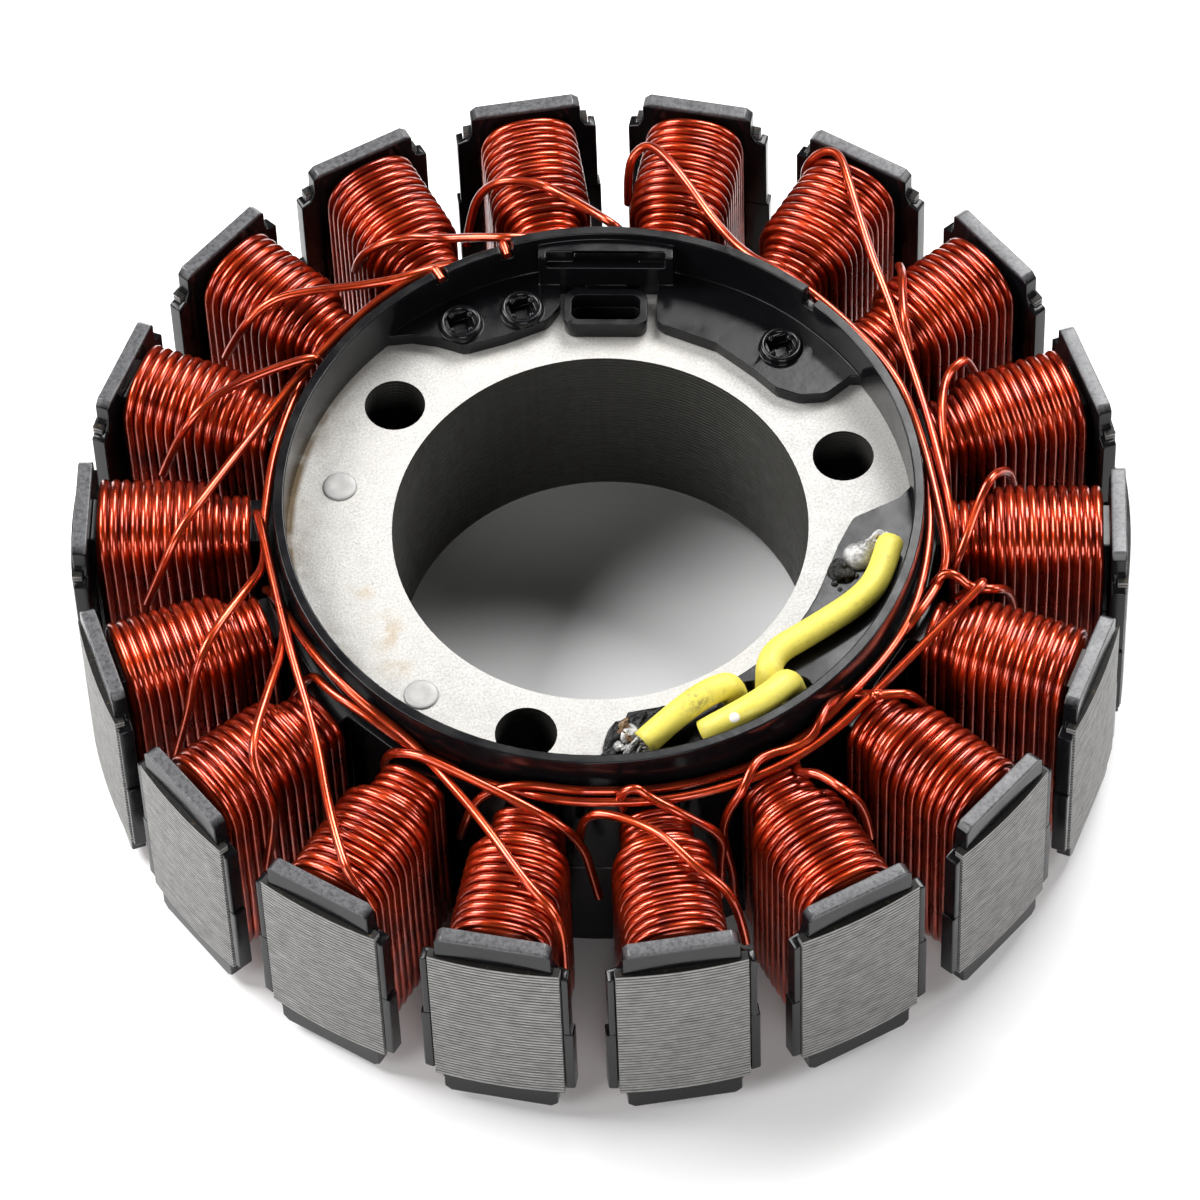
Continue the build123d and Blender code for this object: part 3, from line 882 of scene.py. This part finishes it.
def stack_rings(z, inset):
    """The outer outline and then the holes, each with its heights, insets and side."""
    ends, end_insets = np.array([0.0, STACK]), np.array([END_INSET, END_INSET])
    slot_length = 2 * LEAD_SPACING + LEAD_SLOT_W
    lead_slot = oblong(slot_length, LEAD_SLOT_W, LEAD_SLOT_CORNER, LEAD_SLOT, LEAD_SLOT_TURN)
    port_turn = math.radians(PORT_TURN)
    port_place = (PORT_R * math.cos(port_turn), PORT_R * math.sin(port_turn))
    port = oblong(PORT_DEPTH - 2 * PORT_WALL, PORT_W - 2 * PORT_WALL, PORT_CORNER, port_place, PORT_TURN)
    rings = [(sheet_outline(), z, inset, 1), (circle(BORE_R, BORE_POINTS), z, inset, -1)]
    for a in np.radians(BOLT_ANGLES):
        hole = circle(BOLT_HOLE_R, BOLT_HOLE_POINTS, (BOLT_R * math.cos(a), BOLT_R * math.sin(a)))
        rings.append((hole, z, inset / 2, -1))
    return rings + [(outline, ends, end_insets, -1) for outline in (lead_slot, port)]


def make_stack():
    """Walls and end faces of the stack in one mesh, in place of the CAD core."""
    points, faces, flat_rims, low, high = [], [], [], [], []
    count = 0
    for ring in stack_rings(*sheet_levels(np.random.default_rng(STACK_SEED))):
        grid = wall(*ring)
        rows, cols = grid.shape[:2]
        quads = grid_faces(rows, cols, first=count)
        faces.append(quads if ring[-1] > 0 else quads[:, ::-1])
        points.append(grid.reshape(-1, 3))
        flat_rims.append(grid[-1][:, :2])
        low.append(np.arange(cols) + count)
        high.append(np.arange(cols) + count + (rows - 1) * cols)
        count += rows * cols
    points, low, high = (np.concatenate(arrays) for arrays in (points, low, high))
    triangles = filled(flat_rims)
    faces += [face_up(points, high[triangles]), face_up(points, low[triangles])[:, ::-1]]
    stack = make_piece("sheet_stack", [(points, faces)], steel, smooth=False)
    return place(stack, "lamination_steel", "lamination_core")


stack = make_stack()
print("stack faces:", len(stack.data.polygons))

# %% [markdown]
# ## The moulded caps
# The CAD caps have the right form but razor edges. A moulding has none: its
# corners are rounded and catch the light. A copy of each mesh is merged, its flat
# faces are joined again, and a Bevel modifier rounds what is left. Every edge has
# its own weight, so beside a small step the rounding is smaller too, and the
# rounded strips never cross.

# %% Caps with rounded edges
SAME_PLACE = 1e-6
SHORTEST_EDGE = 0.02
FLAT_WITHIN = math.radians(2.6)
SHARP_FROM = math.radians(32)
EDGE_RADIUS = 0.16
ROUND_SHARE = 0.42
FLAT_FACE_WEIGHT = 90


def rounding(shape):
    """How much of the full rounding each edge gets, from 0 to 1.

    A flat edge gets none. A sharp one gets a share of the shortest edge at its ends, divided by the
    radius, and no more than 1.
    """
    ends = np.array([[corner.index for corner in edge.verts] for edge in shape.edges])
    length = np.array([edge.calc_length() for edge in shape.edges]) / MM
    sharp = np.array([edge.calc_face_angle(0) > SHARP_FROM for edge in shape.edges])
    shortest = np.full(len(shape.verts), np.inf)
    np.minimum.at(shortest, ends.ravel(), np.repeat(length, 2))
    return np.where(sharp, np.clip(shortest[ends].min(axis=1) * ROUND_SHARE / EDGE_RADIUS, 0, 1), 0)


def softened(node, name):
    """A merged copy of a CAD node with small round edges, once edges too short to round are closed up."""
    mesh = nodes[node].data.copy()
    mesh.name = name
    shape = bmesh.new()
    shape.from_mesh(mesh)
    bmesh.ops.remove_doubles(shape, verts=shape.verts, dist=SAME_PLACE)
    bmesh.ops.dissolve_limit(shape, angle_limit=FLAT_WITHIN, verts=shape.verts, edges=shape.edges)
    bmesh.ops.dissolve_degenerate(shape, dist=SHORTEST_EDGE * MM, edges=shape.edges)
    shape.verts.index_update()
    weights = rounding(shape)
    for face in shape.faces:
        face.smooth = True
    shape.to_mesh(mesh)
    shape.free()
    mesh.attributes.new("bevel_weight_edge", "FLOAT", "EDGE").data.foreach_set("value", weights)
    mesh.materials.clear()
    mesh.materials.append(black_moulding)
    piece = new_object(name, mesh)
    bevel = piece.modifiers.new("round_edges", "BEVEL")
    bevel.width = EDGE_RADIUS * MM
    bevel.segments = 2
    bevel.limit_method = "WEIGHT"
    bevel.use_clamp_overlap = False
    bevel.loop_slide = False
    bevel.miter_outer = "MITER_ARC"
    shade = piece.modifiers.new("flat_faces_stay_flat", "WEIGHTED_NORMAL")
    shade.keep_sharp = False
    shade.weight = FLAT_FACE_WEIGHT
    return place(piece, "black_moulding", node)


upper_cap = softened("upper_insulator", "upper_cap")
lower_cap = softened("lower_insulator", "lower_cap")
print("cap faces:", len(upper_cap.data.polygons), len(lower_cap.data.polygons))

# %% [markdown]
# ## Wires that cross between the coils
# Each wire is one smooth spline through the air from its coil to the next. Its
# points are the ones of the CAD route, and some ends go on a few millimetres more,
# down into a slot, under a neighbour or through a notch, where a real end is lost
# to sight. The spline has a round bevel, so it stays a wire however it bends.

# %% Wires along smooth routes
def tube_curve(name, routes, diameter, steps, round_steps):
    """Smooth splines with each route's points as control points, and a round section carried along them."""
    curve = bpy.data.curves.new(name, "CURVE")
    curve.dimensions = "3D"
    for points in routes:
        spline = curve.splines.new("NURBS")
        spline.points.add(len(points) - 1)
        spline.points.foreach_set("co", np.c_[np.array(points) * MM, np.ones(len(points))].ravel())
        spline.order_u = 3
        spline.use_endpoint_u = True
    curve.resolution_u = steps
    curve.bevel_depth = diameter / 2 * MM
    curve.bevel_resolution = round_steps
    return curve


def wires(name, routes, diameter, material, slot, *replaced, steps=8, round_steps=3):
    """One piece of wires with closed ends, one along each route."""
    curve = tube_curve(name, routes, diameter, steps, round_steps)
    curve.use_fill_caps = True
    curve.materials.append(material)
    return place(new_object(name, curve), slot, *replaced)


print("a wire is", WIRE * MM, "m thick in its curve")

# %% [markdown]
# The routes follow the photograph. Their points are where a wire bends, and the
# spline passes close inside each bend.

# %% Routes of the wires
CROSSOVERS = (
    ((33.03, -21.6, 23.2), (34.72, -22.15, 25.2), (35.81, -22.76, 27.0), (32.7, -24.5, 26.6),
     (16.3, -34.0, 26.0), (9.8, -36.7, 25.8), (2.3, -37.8, 25.8), (-5.9, -37.2, 25.9),
     (-14.1, -34.2, 25.7), (-17.5, -32.5, 26.0), (-20.1, -29.8, 25.0), (-24.5, -26.3, 24.8),
     (-28.5, -22.2, 25.4), (-30.87, -20.35, 24.0), (-30.55, -20.18, 20.5)),
    ((36.0, -3.7, 25.4), (33.9, -10.8, 25.7), (31.3, -17.0, 25.8), (27.4, -23.4, 25.8),
     (22.8, -27.6, 25.6), (16.8, -31.9, 26.8), (11.4, -34.2, 25.2), (4.0, -35.8, 24.9),
     (-5.2, -35.6, 25.4), (-12.4, -33.8, 26.5), (-14.6, -32.7, 26.2), (-19.2, -30.6, 26.8),
     (-23.3, -29.2, 24.7), (-25.1, -29.4, 20.0), (-25.12, -27.41, 15.0)),
    ((-3.2, 36.1, 25.2), (-5.8, 35.0, 29.4), (-13.3, 33.7, 28.9), (-23.8, 28.4, 27.4),
     (-30.8, 23.0, 26.6), (-38.0, 16.5, 27.7), (-43.6, 11.5, 28.0), (-46.7, 9.5, 23.5),
     (-48.3, 9.7, 19.0)),
    ((-1.0, 44.0, 19.0), (0.4, 46.0, 22.1), (1.7, 46.3, 24.8), (3.7, 45.3, 27.3), (6.7, 43.6, 27.8),
     (9.0, 41.8, 27.5), (12.7, 33.3, 30.4), (14.0, 33.5, 27.8), (14.8, 33.2, 25.4)),
    ((-13.9, 43.8, 20.6), (-13.7, 42.5, 25.1), (-9.4, 41.0, 28.0), (-4.9, 40.2, 26.7),
     (-1.31, 37.66, 28.6), (1.91, 35.4, 29.8), (4.6, 35.7, 28.5)),
    ((-30.7, 38.3, 19.0), (-29.1, 37.2, 24.7), (-25.8, 37.8, 27.3), (-22.2, 37.5, 28.1),
     (-12.99, 34.5, 29.4), (-7.81, 34.52, 29.6), (-5.2, 35.6, 27.9)),
    ((-41.8, 25.5, 19.0), (-39.8, 25.3, 24.8), (-37.3, 26.0, 27.5), (-33.2, 28.2, 27.6),
     (-23.4, 27.9, 29.4), (-22.5, 27.7, 27.6), (-21.9, 27.9, 25.4)),
    ((17.9, 43.5, 19.0), (18.1, 44.3, 24.8), (20.0, 45.1, 26.6), (21.3, 43.8, 27.6),
     (22.6, 39.0, 28.1), (24.1, 32.2, 27.1), (25.6, 25.9, 28.0), (29.1, 21.0, 28.9),
     (33.4, 13.5, 27.5), (35.8, 4.4, 28.2), (35.6, -3.8, 26.6), (34.5, -10.8, 26.7),
     (33.35, -17.18, 26.4), (32.08, -19.73, 25.8), (29.54, -22.34, 26.1), (27.09, -24.41, 26.2),
     (25.66, -24.95, 25.2)),
    ((37.2, 39.4, 14.5), (37.2, 39.4, 19.5), (37.0, 38.1, 24.3), (38.83, 37.95, 26.4),
     (40.33, 36.22, 27.3), (39.82, 31.86, 27.6), (38.8, 21.55, 27.0), (38.73, 15.88, 26.5),
     (37.4, -1.1, 26.2), (34.8, -16.8, 26.0), (33.6, -17.8, 22.2)),
    ((44.7, -8.3, 14.5), (44.3, -8.6, 19.5), (43.9, -9.1, 23.7), (42.9, -9.5, 26.3),
     (40.6, -11.0, 28.0), (38.6, -12.8, 26.8), (34.9, -17.7, 26.1), (33.3, -18.8, 24.1),
     (33.5, -19.1, 19.1)),
    ((-35.2, 8.0, 24.8), (-36.0, 5.6, 25.3), (-38.5, 2.6, 27.2), (-44.1, -2.7, 28.6),
     (-47.1, -5.8, 26.8), (-48.4, -6.7, 21.1), (-50.8, -7.0, 13.0)),
    ((-35.9, -1.0, 25.1), (-36.6, -4.2, 25.3), (-40.6, -11.1, 27.4), (-43.7, -16.3, 28.1),
     (-44.9, -19.6, 27.6), (-43.9, -23.1, 24.5), (-44.1, -22.6, 18.9), (-45.3, -23.0, 13.0)),
    ((-34.33, 15.93, 19.5), (-34.37, 13.95, 24.8), (-34.91, 9.33, 26.2), (-36.7, -5.8, 26.5),
     (-37.4, -18.0, 26.5), (-39.0, -27.1, 27.7), (-39.6, -34.4, 27.9), (-39.32, -36.1, 27.3),
     (-38.42, -37.89, 26.2), (-37.84, -38.45, 24.0)),
    ((-35.89, 6.34, 20.0), (-36.16, 3.08, 24.6), (-35.73, 0.01, 25.2), (-34.7, -9.1, 28.1),
     (-32.3, -15.8, 28.6), (-28.3, -21.4, 26.7), (-26.1, -26.9, 26.0), (-24.2, -34.9, 27.5),
     (-22.4, -43.5, 27.7), (-20.4, -47.2, 26.4), (-20.3, -48.5, 20.6), (-21.1, -50.4, 12.6)),
    ((-14.3, -35.3, 19.0), (-14.1, -35.1, 22.5), (-13.0, -35.6, 25.0), (-11.1, -36.8, 25.7),
     (-7.5, -42.0, 28.2), (-5.2, -47.2, 27.6), (-2.8, -49.4, 25.7), (-1.9, -51.0, 22.6),
     (-1.5, -51.7, 18.0)),
    ((0.9, -41.0, 9.0), (0.8, -41.0, 12.0), (0.7, -41.1, 15.0), (0.0, -39.7, 20.0), (0.7, -39.4, 23.8),
     (2.6, -39.1, 26.4), (4.3, -37.1, 27.3), (6.0, -35.8, 26.8), (9.84, -35.66, 26.2),
     (11.77, -35.23, 26.7), (13.21, -33.69, 27.2), (14.79, -31.76, 26.9), (16.95, -30.73, 25.5)),
)
SMALL_HOOKS = {
    "hook_left": ((-30.82, -20.27, 20.0), (-31.3, -21.17, 25.0), (-28.7, -23.4, 27.2),
                  (-26.2, -26.0, 27.4), (-17.1, -36.3, 26.9), (-14.3, -36.6, 21.2),
                  (-13.7, -37.2, 16.5), (-13.2, -38.0, 12.5)),
    "hook_far_left": ((-37.0, -7.8, 20.1), (-35.3, -8.8, 25.5), (-34.5, -12.6, 26.6),
                      (-32.0, -16.7, 27.0), (-29.0, -20.4, 25.5), (-27.4, -22.3, 24.7),
                      (-24.4, -25.5, 24.65)),
    "hook_front": ((-9.49, -35.72, 24.3), (-9.94, -35.54, 26.2), (-9.16, -35.6, 27.6),
                   (-7.87, -36.06, 28.0), (-7.1, -36.9, 27.2), (-4.2, -39.8, 26.4),
                   (-0.1, -41.0, 22.1), (-0.7, -41.4, 18.0), (-0.9, -41.8, 12.0)),
    "hook_front_right": ((9.4, -35.9, 24.85), (9.3, -37.2, 24.75), (9.1, -38.2, 25.3),
                         (10.1, -39.3, 26.4), (11.0, -40.1, 26.6), (12.6, -43.1, 27.1),
                         (14.6, -43.6, 23.6), (14.9, -44.4, 19.0)),
    "hook_right": ((16.95, -30.73, 25.5), (19.34, -31.24, 25.2), (20.51, -32.93, 27.0),
                   (18.9, -32.9, 27.4), (21.2, -32.9, 26.6), (23.7, -33.4, 26.2), (25.1, -33.0, 22.3)),
    "hook_far_right": ((29.43, -20.59, 23.0), (30.3, -20.5, 24.6), (30.7, -20.9, 26.4),
                       (31.8, -20.5, 27.0), (32.9, -21.3, 27.2), (34.1, -22.6, 25.8),
                       (36.4, -23.8, 26.3), (38.4, -22.6, 23.6), (39.2, -22.4, 19.0),
                       (39.6, -22.6, 14.5)),
    "hook_back_right": ((45.8, 6.4, 20.0), (44.5, 6.1, 25.4), (43.1, 5.5, 26.4), (41.1, 4.4, 26.0),
                        (38.9, 0.0, 26.3), (37.4, -6.1, 25.2), (37.4, -6.6, 20.0)),
    "hook_back": ((41.8, 21.08, 24.8), (41.45, 18.89, 26.6), (40.3, 16.05, 27.4), (39.15, 12.26, 27.6),
                  (38.93, 10.68, 26.6), (38.86, 9.49, 25.4)),
    "wire_by_collar": ((-23.76, 29.87, 24.6), (-25.7, 26.8, 25.4), (-27.5, 24.3, 25.4),
                       (-29.62, 21.16, 25.3), (-31.42, 17.93, 25.2), (-33.29, 13.68, 25.2),
                       (-34.63, 10.47, 25.1), (-35.2, 8.0, 24.8)),
    "end_in_notch_1": ((0.87, 35.9, 27.6), (0.88, 35.7, 29.1), (0.85, 34.8, 29.15),
                       (0.82, 33.75, 29.1)),
    "end_in_notch_2": ((-7.34, 35.14, 27.6), (-7.3, 34.95, 29.1), (-7.12, 34.06, 29.15),
                       (-6.9, 33.04, 29.1)),
}
for number, points in enumerate(CROSSOVERS, start=1):
    wires(f"link_wire_{number:02d}", [points], WIRE, crossover_enamel, "enamelled_wire",
          f"crossover_{number:02d}")
for name, points in SMALL_HOOKS.items():
    wires(name, [points], WIRE, crossover_enamel, "enamelled_wire")
print("wires:", len(CROSSOVERS) + len(SMALL_HOOKS))

# %% [markdown]
# ## The three leads
# A yellow sleeve is a soft tube over a stranded wire. A solid rod would do from
# afar, but its cut ends would look shut. So the sleeve follows its spline as an
# open tube, and a Solidify modifier gives it a wall. Each lead lies on the plate
# and then goes over the slot and down into it.

# %% Sleeves
LEAD_D = 2.95
LEAD_DEPTH = 10.0
LEAD_WALL = 0.4
LEAD_GAP = 0.05
LEADS = {
    "phase_lead_1": (0, 0.0, ((27.9, -14.4, 0.0), (25.7, -18.0, 0.0), (22.6, -20.5, 0.0), (16.0, -22.6, 0.0),
                              (11.0, -23.9, 0.0))),
    "phase_lead_2": (1, 1.6, ((1.1, -31.0, 0.0), (5.0, -31.2, 1.9), (8.6, -30.5, 2.5))),
    "phase_lead_3": (-1, 1.2, ((-5.2, -30.1, 0.0), (-1.4, -28.7, 1.2), (2.9, -27.3, 1.8))),
}


def lead_route(slot_index, lift, plan):
    """The lead's points: its plan at the sleeve's resting height, then over the slot and down into it."""
    rest = PLATE_TOP + LEAD_GAP + LEAD_D / 2
    turn = math.radians(LEAD_SLOT_TURN)
    x = LEAD_SLOT[0] + slot_index * LEAD_SPACING * math.cos(turn)
    y = LEAD_SLOT[1] + slot_index * LEAD_SPACING * math.sin(turn)
    return [(px, py, rest + up) for px, py, up in plan] + [(x, y, rest + lift), (x, y, STACK - LEAD_DEPTH)]


def sleeve(name, points, *replaced):
    """An open-ended tube along a smooth route, with its wall thickness inwards."""
    holder = bpy.data.objects.new("route_holder", tube_curve(name, [points], LEAD_D, steps=8, round_steps=6))
    mesh = bpy.data.meshes.new_from_object(holder)
    bpy.data.objects.remove(holder)
    mesh.name = name
    mesh.shade_smooth()
    mesh.materials.clear()
    mesh.materials.append(yellow_sleeve)
    piece = new_object(name, mesh)
    shell = piece.modifiers.new("wall", "SOLIDIFY")
    shell.thickness = LEAD_WALL * MM
    shell.offset = -1
    return place(piece, "yellow_sleeve", *replaced)


for node, values in LEADS.items():
    sleeve(node.replace("phase_lead", "yellow_lead"), lead_route(*values), node)
print("leads:", list(LEADS))

# %% [markdown]
# ### Tinned strands
# The strands of two leads come out of their sleeves as a short braid and go down to
# the solder. One thick wire would look cast. So each strand is a thin spline of its
# own that circles the route of the braid, with small random steps.

# %% Strands
STRANDS = 11
TWIST = 2.2
ANGLE_SLACK = 0.35
REACH_SLACK = 0.18
REACH_IN_Y = 0.8


def braid(name, points, spread, thickness):
    """Fine strands twisted about one route: strand k keeps to a circle round it, at an angle that turns."""
    rng = np.random.default_rng(len(name))
    route = np.array(points)
    routes = []
    for k in range(STRANDS):
        angle = 2 * np.pi * k / STRANDS + np.linspace(0, TWIST, len(route))
        angle = angle + rng.normal(0, ANGLE_SLACK, len(route))
        reach = spread * (1 + rng.normal(0, REACH_SLACK, len(route)))
        up, across = reach * np.sin(angle), reach * np.cos(angle)
        routes.append(route + np.stack([across, REACH_IN_Y * up, up], axis=-1))
    return wires(name, routes, thickness, bright_solder, "solder", steps=6, round_steps=1)


braid("strands_1", ((27.2, -15.5, 26.8), (27.6, -14.6, 27.1), (26.9, -13.9, 27.2), (26.1, -14.1, 26.9),
                    (25.2, -14.5, 26.3)), spread=0.55, thickness=0.45)
braid("strands_3", ((-4.2, -29.7, 26.7), (-5.5, -30.2, 26.6), (-6.3, -30.3, 26.2), (-6.9, -30.0, 25.2)),
      spread=0.75, thickness=0.42)
print("strands in a braid:", STRANDS)

# %% [markdown]
# ## Solder, resin and sealant
# A drop of solder is a dome whose skin is pulled into soft lumps before it sets.
# A sphere would look too clean. So the dome is a grid of rings from rim to crown,
# and its radius is changed by a sum of a few slow waves.

# %% Domes
DOME_RINGS, DOME_SIDES = 12, 28
DOME_TOP = 0.47
DOME_SINK = 0.05
DOME_WAVES = (2, 3, 5)
SWELL = 1.6
ANY_TURN = 6.28


def lumpy_dome(name, spot, radius, height, seed, material, slot, *replaced, base=PLATE_TOP, waves=0.16):
    """A dome: ring radius is cos(v), height is sin(v), both stretched by waves in the angle and height."""
    rng = np.random.default_rng(seed)
    v, u = np.meshgrid(np.linspace(0, DOME_TOP * np.pi, DOME_RINGS),
                       np.arange(DOME_SIDES) * 2 * np.pi / DOME_SIDES, indexing="ij")
    swell = np.zeros_like(u)
    for k in DOME_WAVES:
        swell += SWELL * waves / k * np.sin(k * u + rng.uniform(0, ANY_TURN) + v * rng.uniform(1, 4))
    r = radius * np.cos(v) * (1 + swell)
    z = base - DOME_SINK + height * np.sin(v) * (1 + swell / 2)
    rings = np.stack([spot[0] + r * np.cos(u), spot[1] + r * np.sin(u), z], axis=-1)
    return place(make_piece(name, [closed_tube(rings)], material), slot, *replaced)


lumpy_dome("solder_drop_1", (24.54, -14.28), 1.8, 1.7, 3, bright_solder, "solder", "solder_joint_1",
           waves=0.10)
lumpy_dome("solder_drop_2", (-6.0, -27.7), 1.2, 1.0, 5, bright_solder, "solder", "solder_joint_2")
lumpy_dome("solder_drop_3", (-7.6, -28.9), 0.6, 0.5, 6, bright_solder, "solder", base=25.4)
lumpy_dome("resin_drop", (21.9, -15.5), 1.35, 1.1, 8, burnt_resin, "burnt_resin", "resin_blob", waves=0.22)
print("points in a dome:", DOME_RINGS * DOME_SIDES + 2)

# %% [markdown]
# A run of sealant has no round plan: it follows an outline drawn over the edge of
# the plate. The outline shrinks towards its middle in rings while it rises, and
# waves in the plan make the skin uneven. The bubbles by the drop of resin and the
# brown crumbs on the sealant are small domes.

# %% Sealant, bubbles and crumbs
SEALANT = ((-8.97, -29.93), (-6.95, -30.52), (-4.66, -29.33), (-2.97, -27.65), (-1.02, -26.19),
           (-0.31, -25.1), (-1.65, -24.76), (-3.89, -24.78), (-5.58, -24.85), (-7.26, -25.19),
           (-8.22, -26.06), (-8.96, -27.27), (-9.98, -28.64))
BUBBLES = ((20.86, -16.64, 0.42), (22.34, -16.62, 0.32), (23.28, -16.53, 0.36),
           (21.1, -17.55, 0.28), (21.53, -18.25, 0.24), (23.53, -17.72, 0.3))
CRUMBS = ((-6.2, -26.5, 0.62), (-6.7, -27.4, 0.55), (-6.4, -28.3, 0.50), (-5.8, -27.2, 0.45))
PATCH_POINTS = 72
PATCH_RINGS = 16
PATCH_CORE = 0.06
PATCH_WAVES = 9
RADIANS_PER_MM = 3.4
EDGE_WAVE = 0.03
SKIN_WAVE = 0.13


def sealant_patch(name, outline, base, height, seed):
    """A run of sealant: rings shrink by s from the outline, at z = base + height * (1 - s ** 4) ** 0.6.

    A sum of waves in the plan moves the rings in and out and stretches their height.
    """
    rng = np.random.default_rng(seed)
    outline = np.array(outline)
    t = np.linspace(0, len(outline), PATCH_POINTS, endpoint=False)
    closed = np.vstack([outline, outline[:1]])
    edge = np.stack([np.interp(t, np.arange(len(closed)), closed[:, k]) for k in (0, 1)], axis=-1)
    middle = edge.mean(axis=0)
    s = np.linspace(1, PATCH_CORE, PATCH_RINGS)[:, None]
    plan = middle + (edge - middle)[None] * s[..., None]
    wave = np.zeros(plan.shape[:2])
    for _ in range(PATCH_WAVES):
        a, b, shift = rng.normal(0, RADIANS_PER_MM), rng.normal(0, RADIANS_PER_MM), rng.uniform(0, ANY_TURN)
        wave += np.sin(plan[..., 0] * a + plan[..., 1] * b + shift) / 3
    plan = plan + (edge - middle)[None] * EDGE_WAVE * wave[..., None]
    z = base + height * (1 - s ** 4) ** 0.6 * (1 + SKIN_WAVE * wave)
    rings = np.concatenate([plan, z[..., None]], axis=-1)
    return place(make_piece(name, [closed_tube(rings)], black_sealant), "burnt_resin")


sealant_patch("sealant_by_lead_3", SEALANT, STACK - 0.05, 2.25, 4)
lumpy_dome("sealant_by_lead_2", (0.9, -31.2), 1.6, 1.2, 9, black_sealant, "burnt_resin")
for number, (x, y, r) in enumerate(BUBBLES, start=1):
    lumpy_dome(f"bubble_{number}", (x, y), r, r, 20 + number, black_sealant, "burnt_resin", waves=0.04)
for number, (x, y, r) in enumerate(CRUMBS, start=1):
    lumpy_dome(f"crumb_{number}", (x, y), r, r, 30 + number, brown_resin, "burnt_resin", base=25.5, waves=0.3)
print("bubbles:", len(BUBBLES), "crumbs:", len(CRUMBS))

# %% [markdown]
# ## Lips and ribs of the bosses
# The three bosses on the plate have a thick round lip, and four ribs stand in the
# corners of each hole. They are too small for the CAD model. The lip is a ring of
# small circles, and a rib is an egg sunk in the boss.

# %% Lips and ribs of the bosses
BOSS_TOP = PLATE_TOP + 0.5
BOSSES = ((-6.1, 29.4), (0.8, 29.0), (25.8, 14.7))
LIP_R, LIP_HALF = 2.0, 0.36
LIP_STEPS, LIP_SIDES = 40, 12
RIB_R, RIB_HALF, RIB_RISE, RIB_SINK = 1.45, 0.42, 0.4, 0.1
RIB_RINGS, RIB_SIDES = 9, 14
RIB_END = 0.45
RIB_ANGLES = (30, 120, 210, 300)


def boss_lip(x, y):
    """A ring of LIP_R whose section is a circle of LIP_HALF, wound shut both ways."""
    u, v = np.meshgrid(np.arange(LIP_STEPS) * 2 * np.pi / LIP_STEPS,
                       np.arange(LIP_SIDES) * 2 * np.pi / LIP_SIDES, indexing="ij")
    reach = LIP_R + LIP_HALF * np.cos(v)
    z = BOSS_TOP + LIP_HALF * np.sin(v)
    points = np.stack([x + reach * np.cos(u), y + reach * np.sin(u), z], axis=-1)
    return points.reshape(-1, 3), [grid_faces(LIP_STEPS, LIP_SIDES, wrap_rows=True)[:, ::-1]]


def boss_rib(x, y, degrees):
    """A small egg at RIB_R from the boss's middle: ring radius is cos(v), height is sin(v)."""
    v, u = np.meshgrid(np.linspace(-RIB_END, RIB_END, RIB_RINGS) * np.pi,
                       np.arange(RIB_SIDES) * 2 * np.pi / RIB_SIDES, indexing="ij")
    a = math.radians(degrees)
    r = RIB_HALF * np.cos(v)
    rings = np.stack([x + RIB_R * math.cos(a) + r * np.cos(u), y + RIB_R * math.sin(a) + r * np.sin(u),
                      BOSS_TOP - RIB_SINK + RIB_RISE * np.sin(v)], axis=-1)
    return closed_tube(rings)


shells = [boss_lip(x, y) for x, y in BOSSES]
shells += [boss_rib(x, y, degrees) for x, y in BOSSES for degrees in RIB_ANGLES]
lips = place(make_piece("boss_lips", shells, black_moulding), "black_moulding")
print("boss pieces:", len(shells), "faces:", len(lips.data.polygons))

# %% [markdown]
# ## Rivets
# Rivets through the stack hold its sheets together. The photograph shows two heads
# above. The underside is out of sight, so the six heads there are a guess. A head
# is a profile turned about its own axis.

# %% Rivets
RIVET_R = 28.7
RIVET_PROFILE = ((1.85, 0.0), (1.85, 0.14), (1.79, 0.22), (1.6, 0.26), (1.1, 0.28), (0.75, 0.27),
                 (0.35, 0.24))
RIVET_SIDES = 32
RIVET_SINK = 0.02
RIVETS_ABOVE = (150, 210)
RIVETS_BELOW = (30, 90, 150, 210, 270, 330)


def rivet_head(degrees, face_z, side):
    """A turned head: rim, round shoulder and low crown, above or below a face."""
    x, y = RIVET_R * math.cos(math.radians(degrees)), RIVET_R * math.sin(math.radians(degrees))
    reach, rise = np.array(RIVET_PROFILE).T[:, :, None]
    a = np.arange(RIVET_SIDES) * 2 * np.pi / RIVET_SIDES * side
    heights = np.broadcast_to(face_z + side * rise, (len(RIVET_PROFILE), RIVET_SIDES))
    return closed_tube(np.stack([x + reach * np.cos(a), y + reach * np.sin(a), heights], axis=-1))


shells = [rivet_head(degrees, STACK - RIVET_SINK, 1) for degrees in RIVETS_ABOVE]
shells += [rivet_head(degrees, RIVET_SINK, -1) for degrees in RIVETS_BELOW]
rivets = place(make_piece("rivet_heads", shells, rivet_steel), "lamination_steel")
print("rivet heads:", len(shells), "faces:", len(rivets.data.polygons))
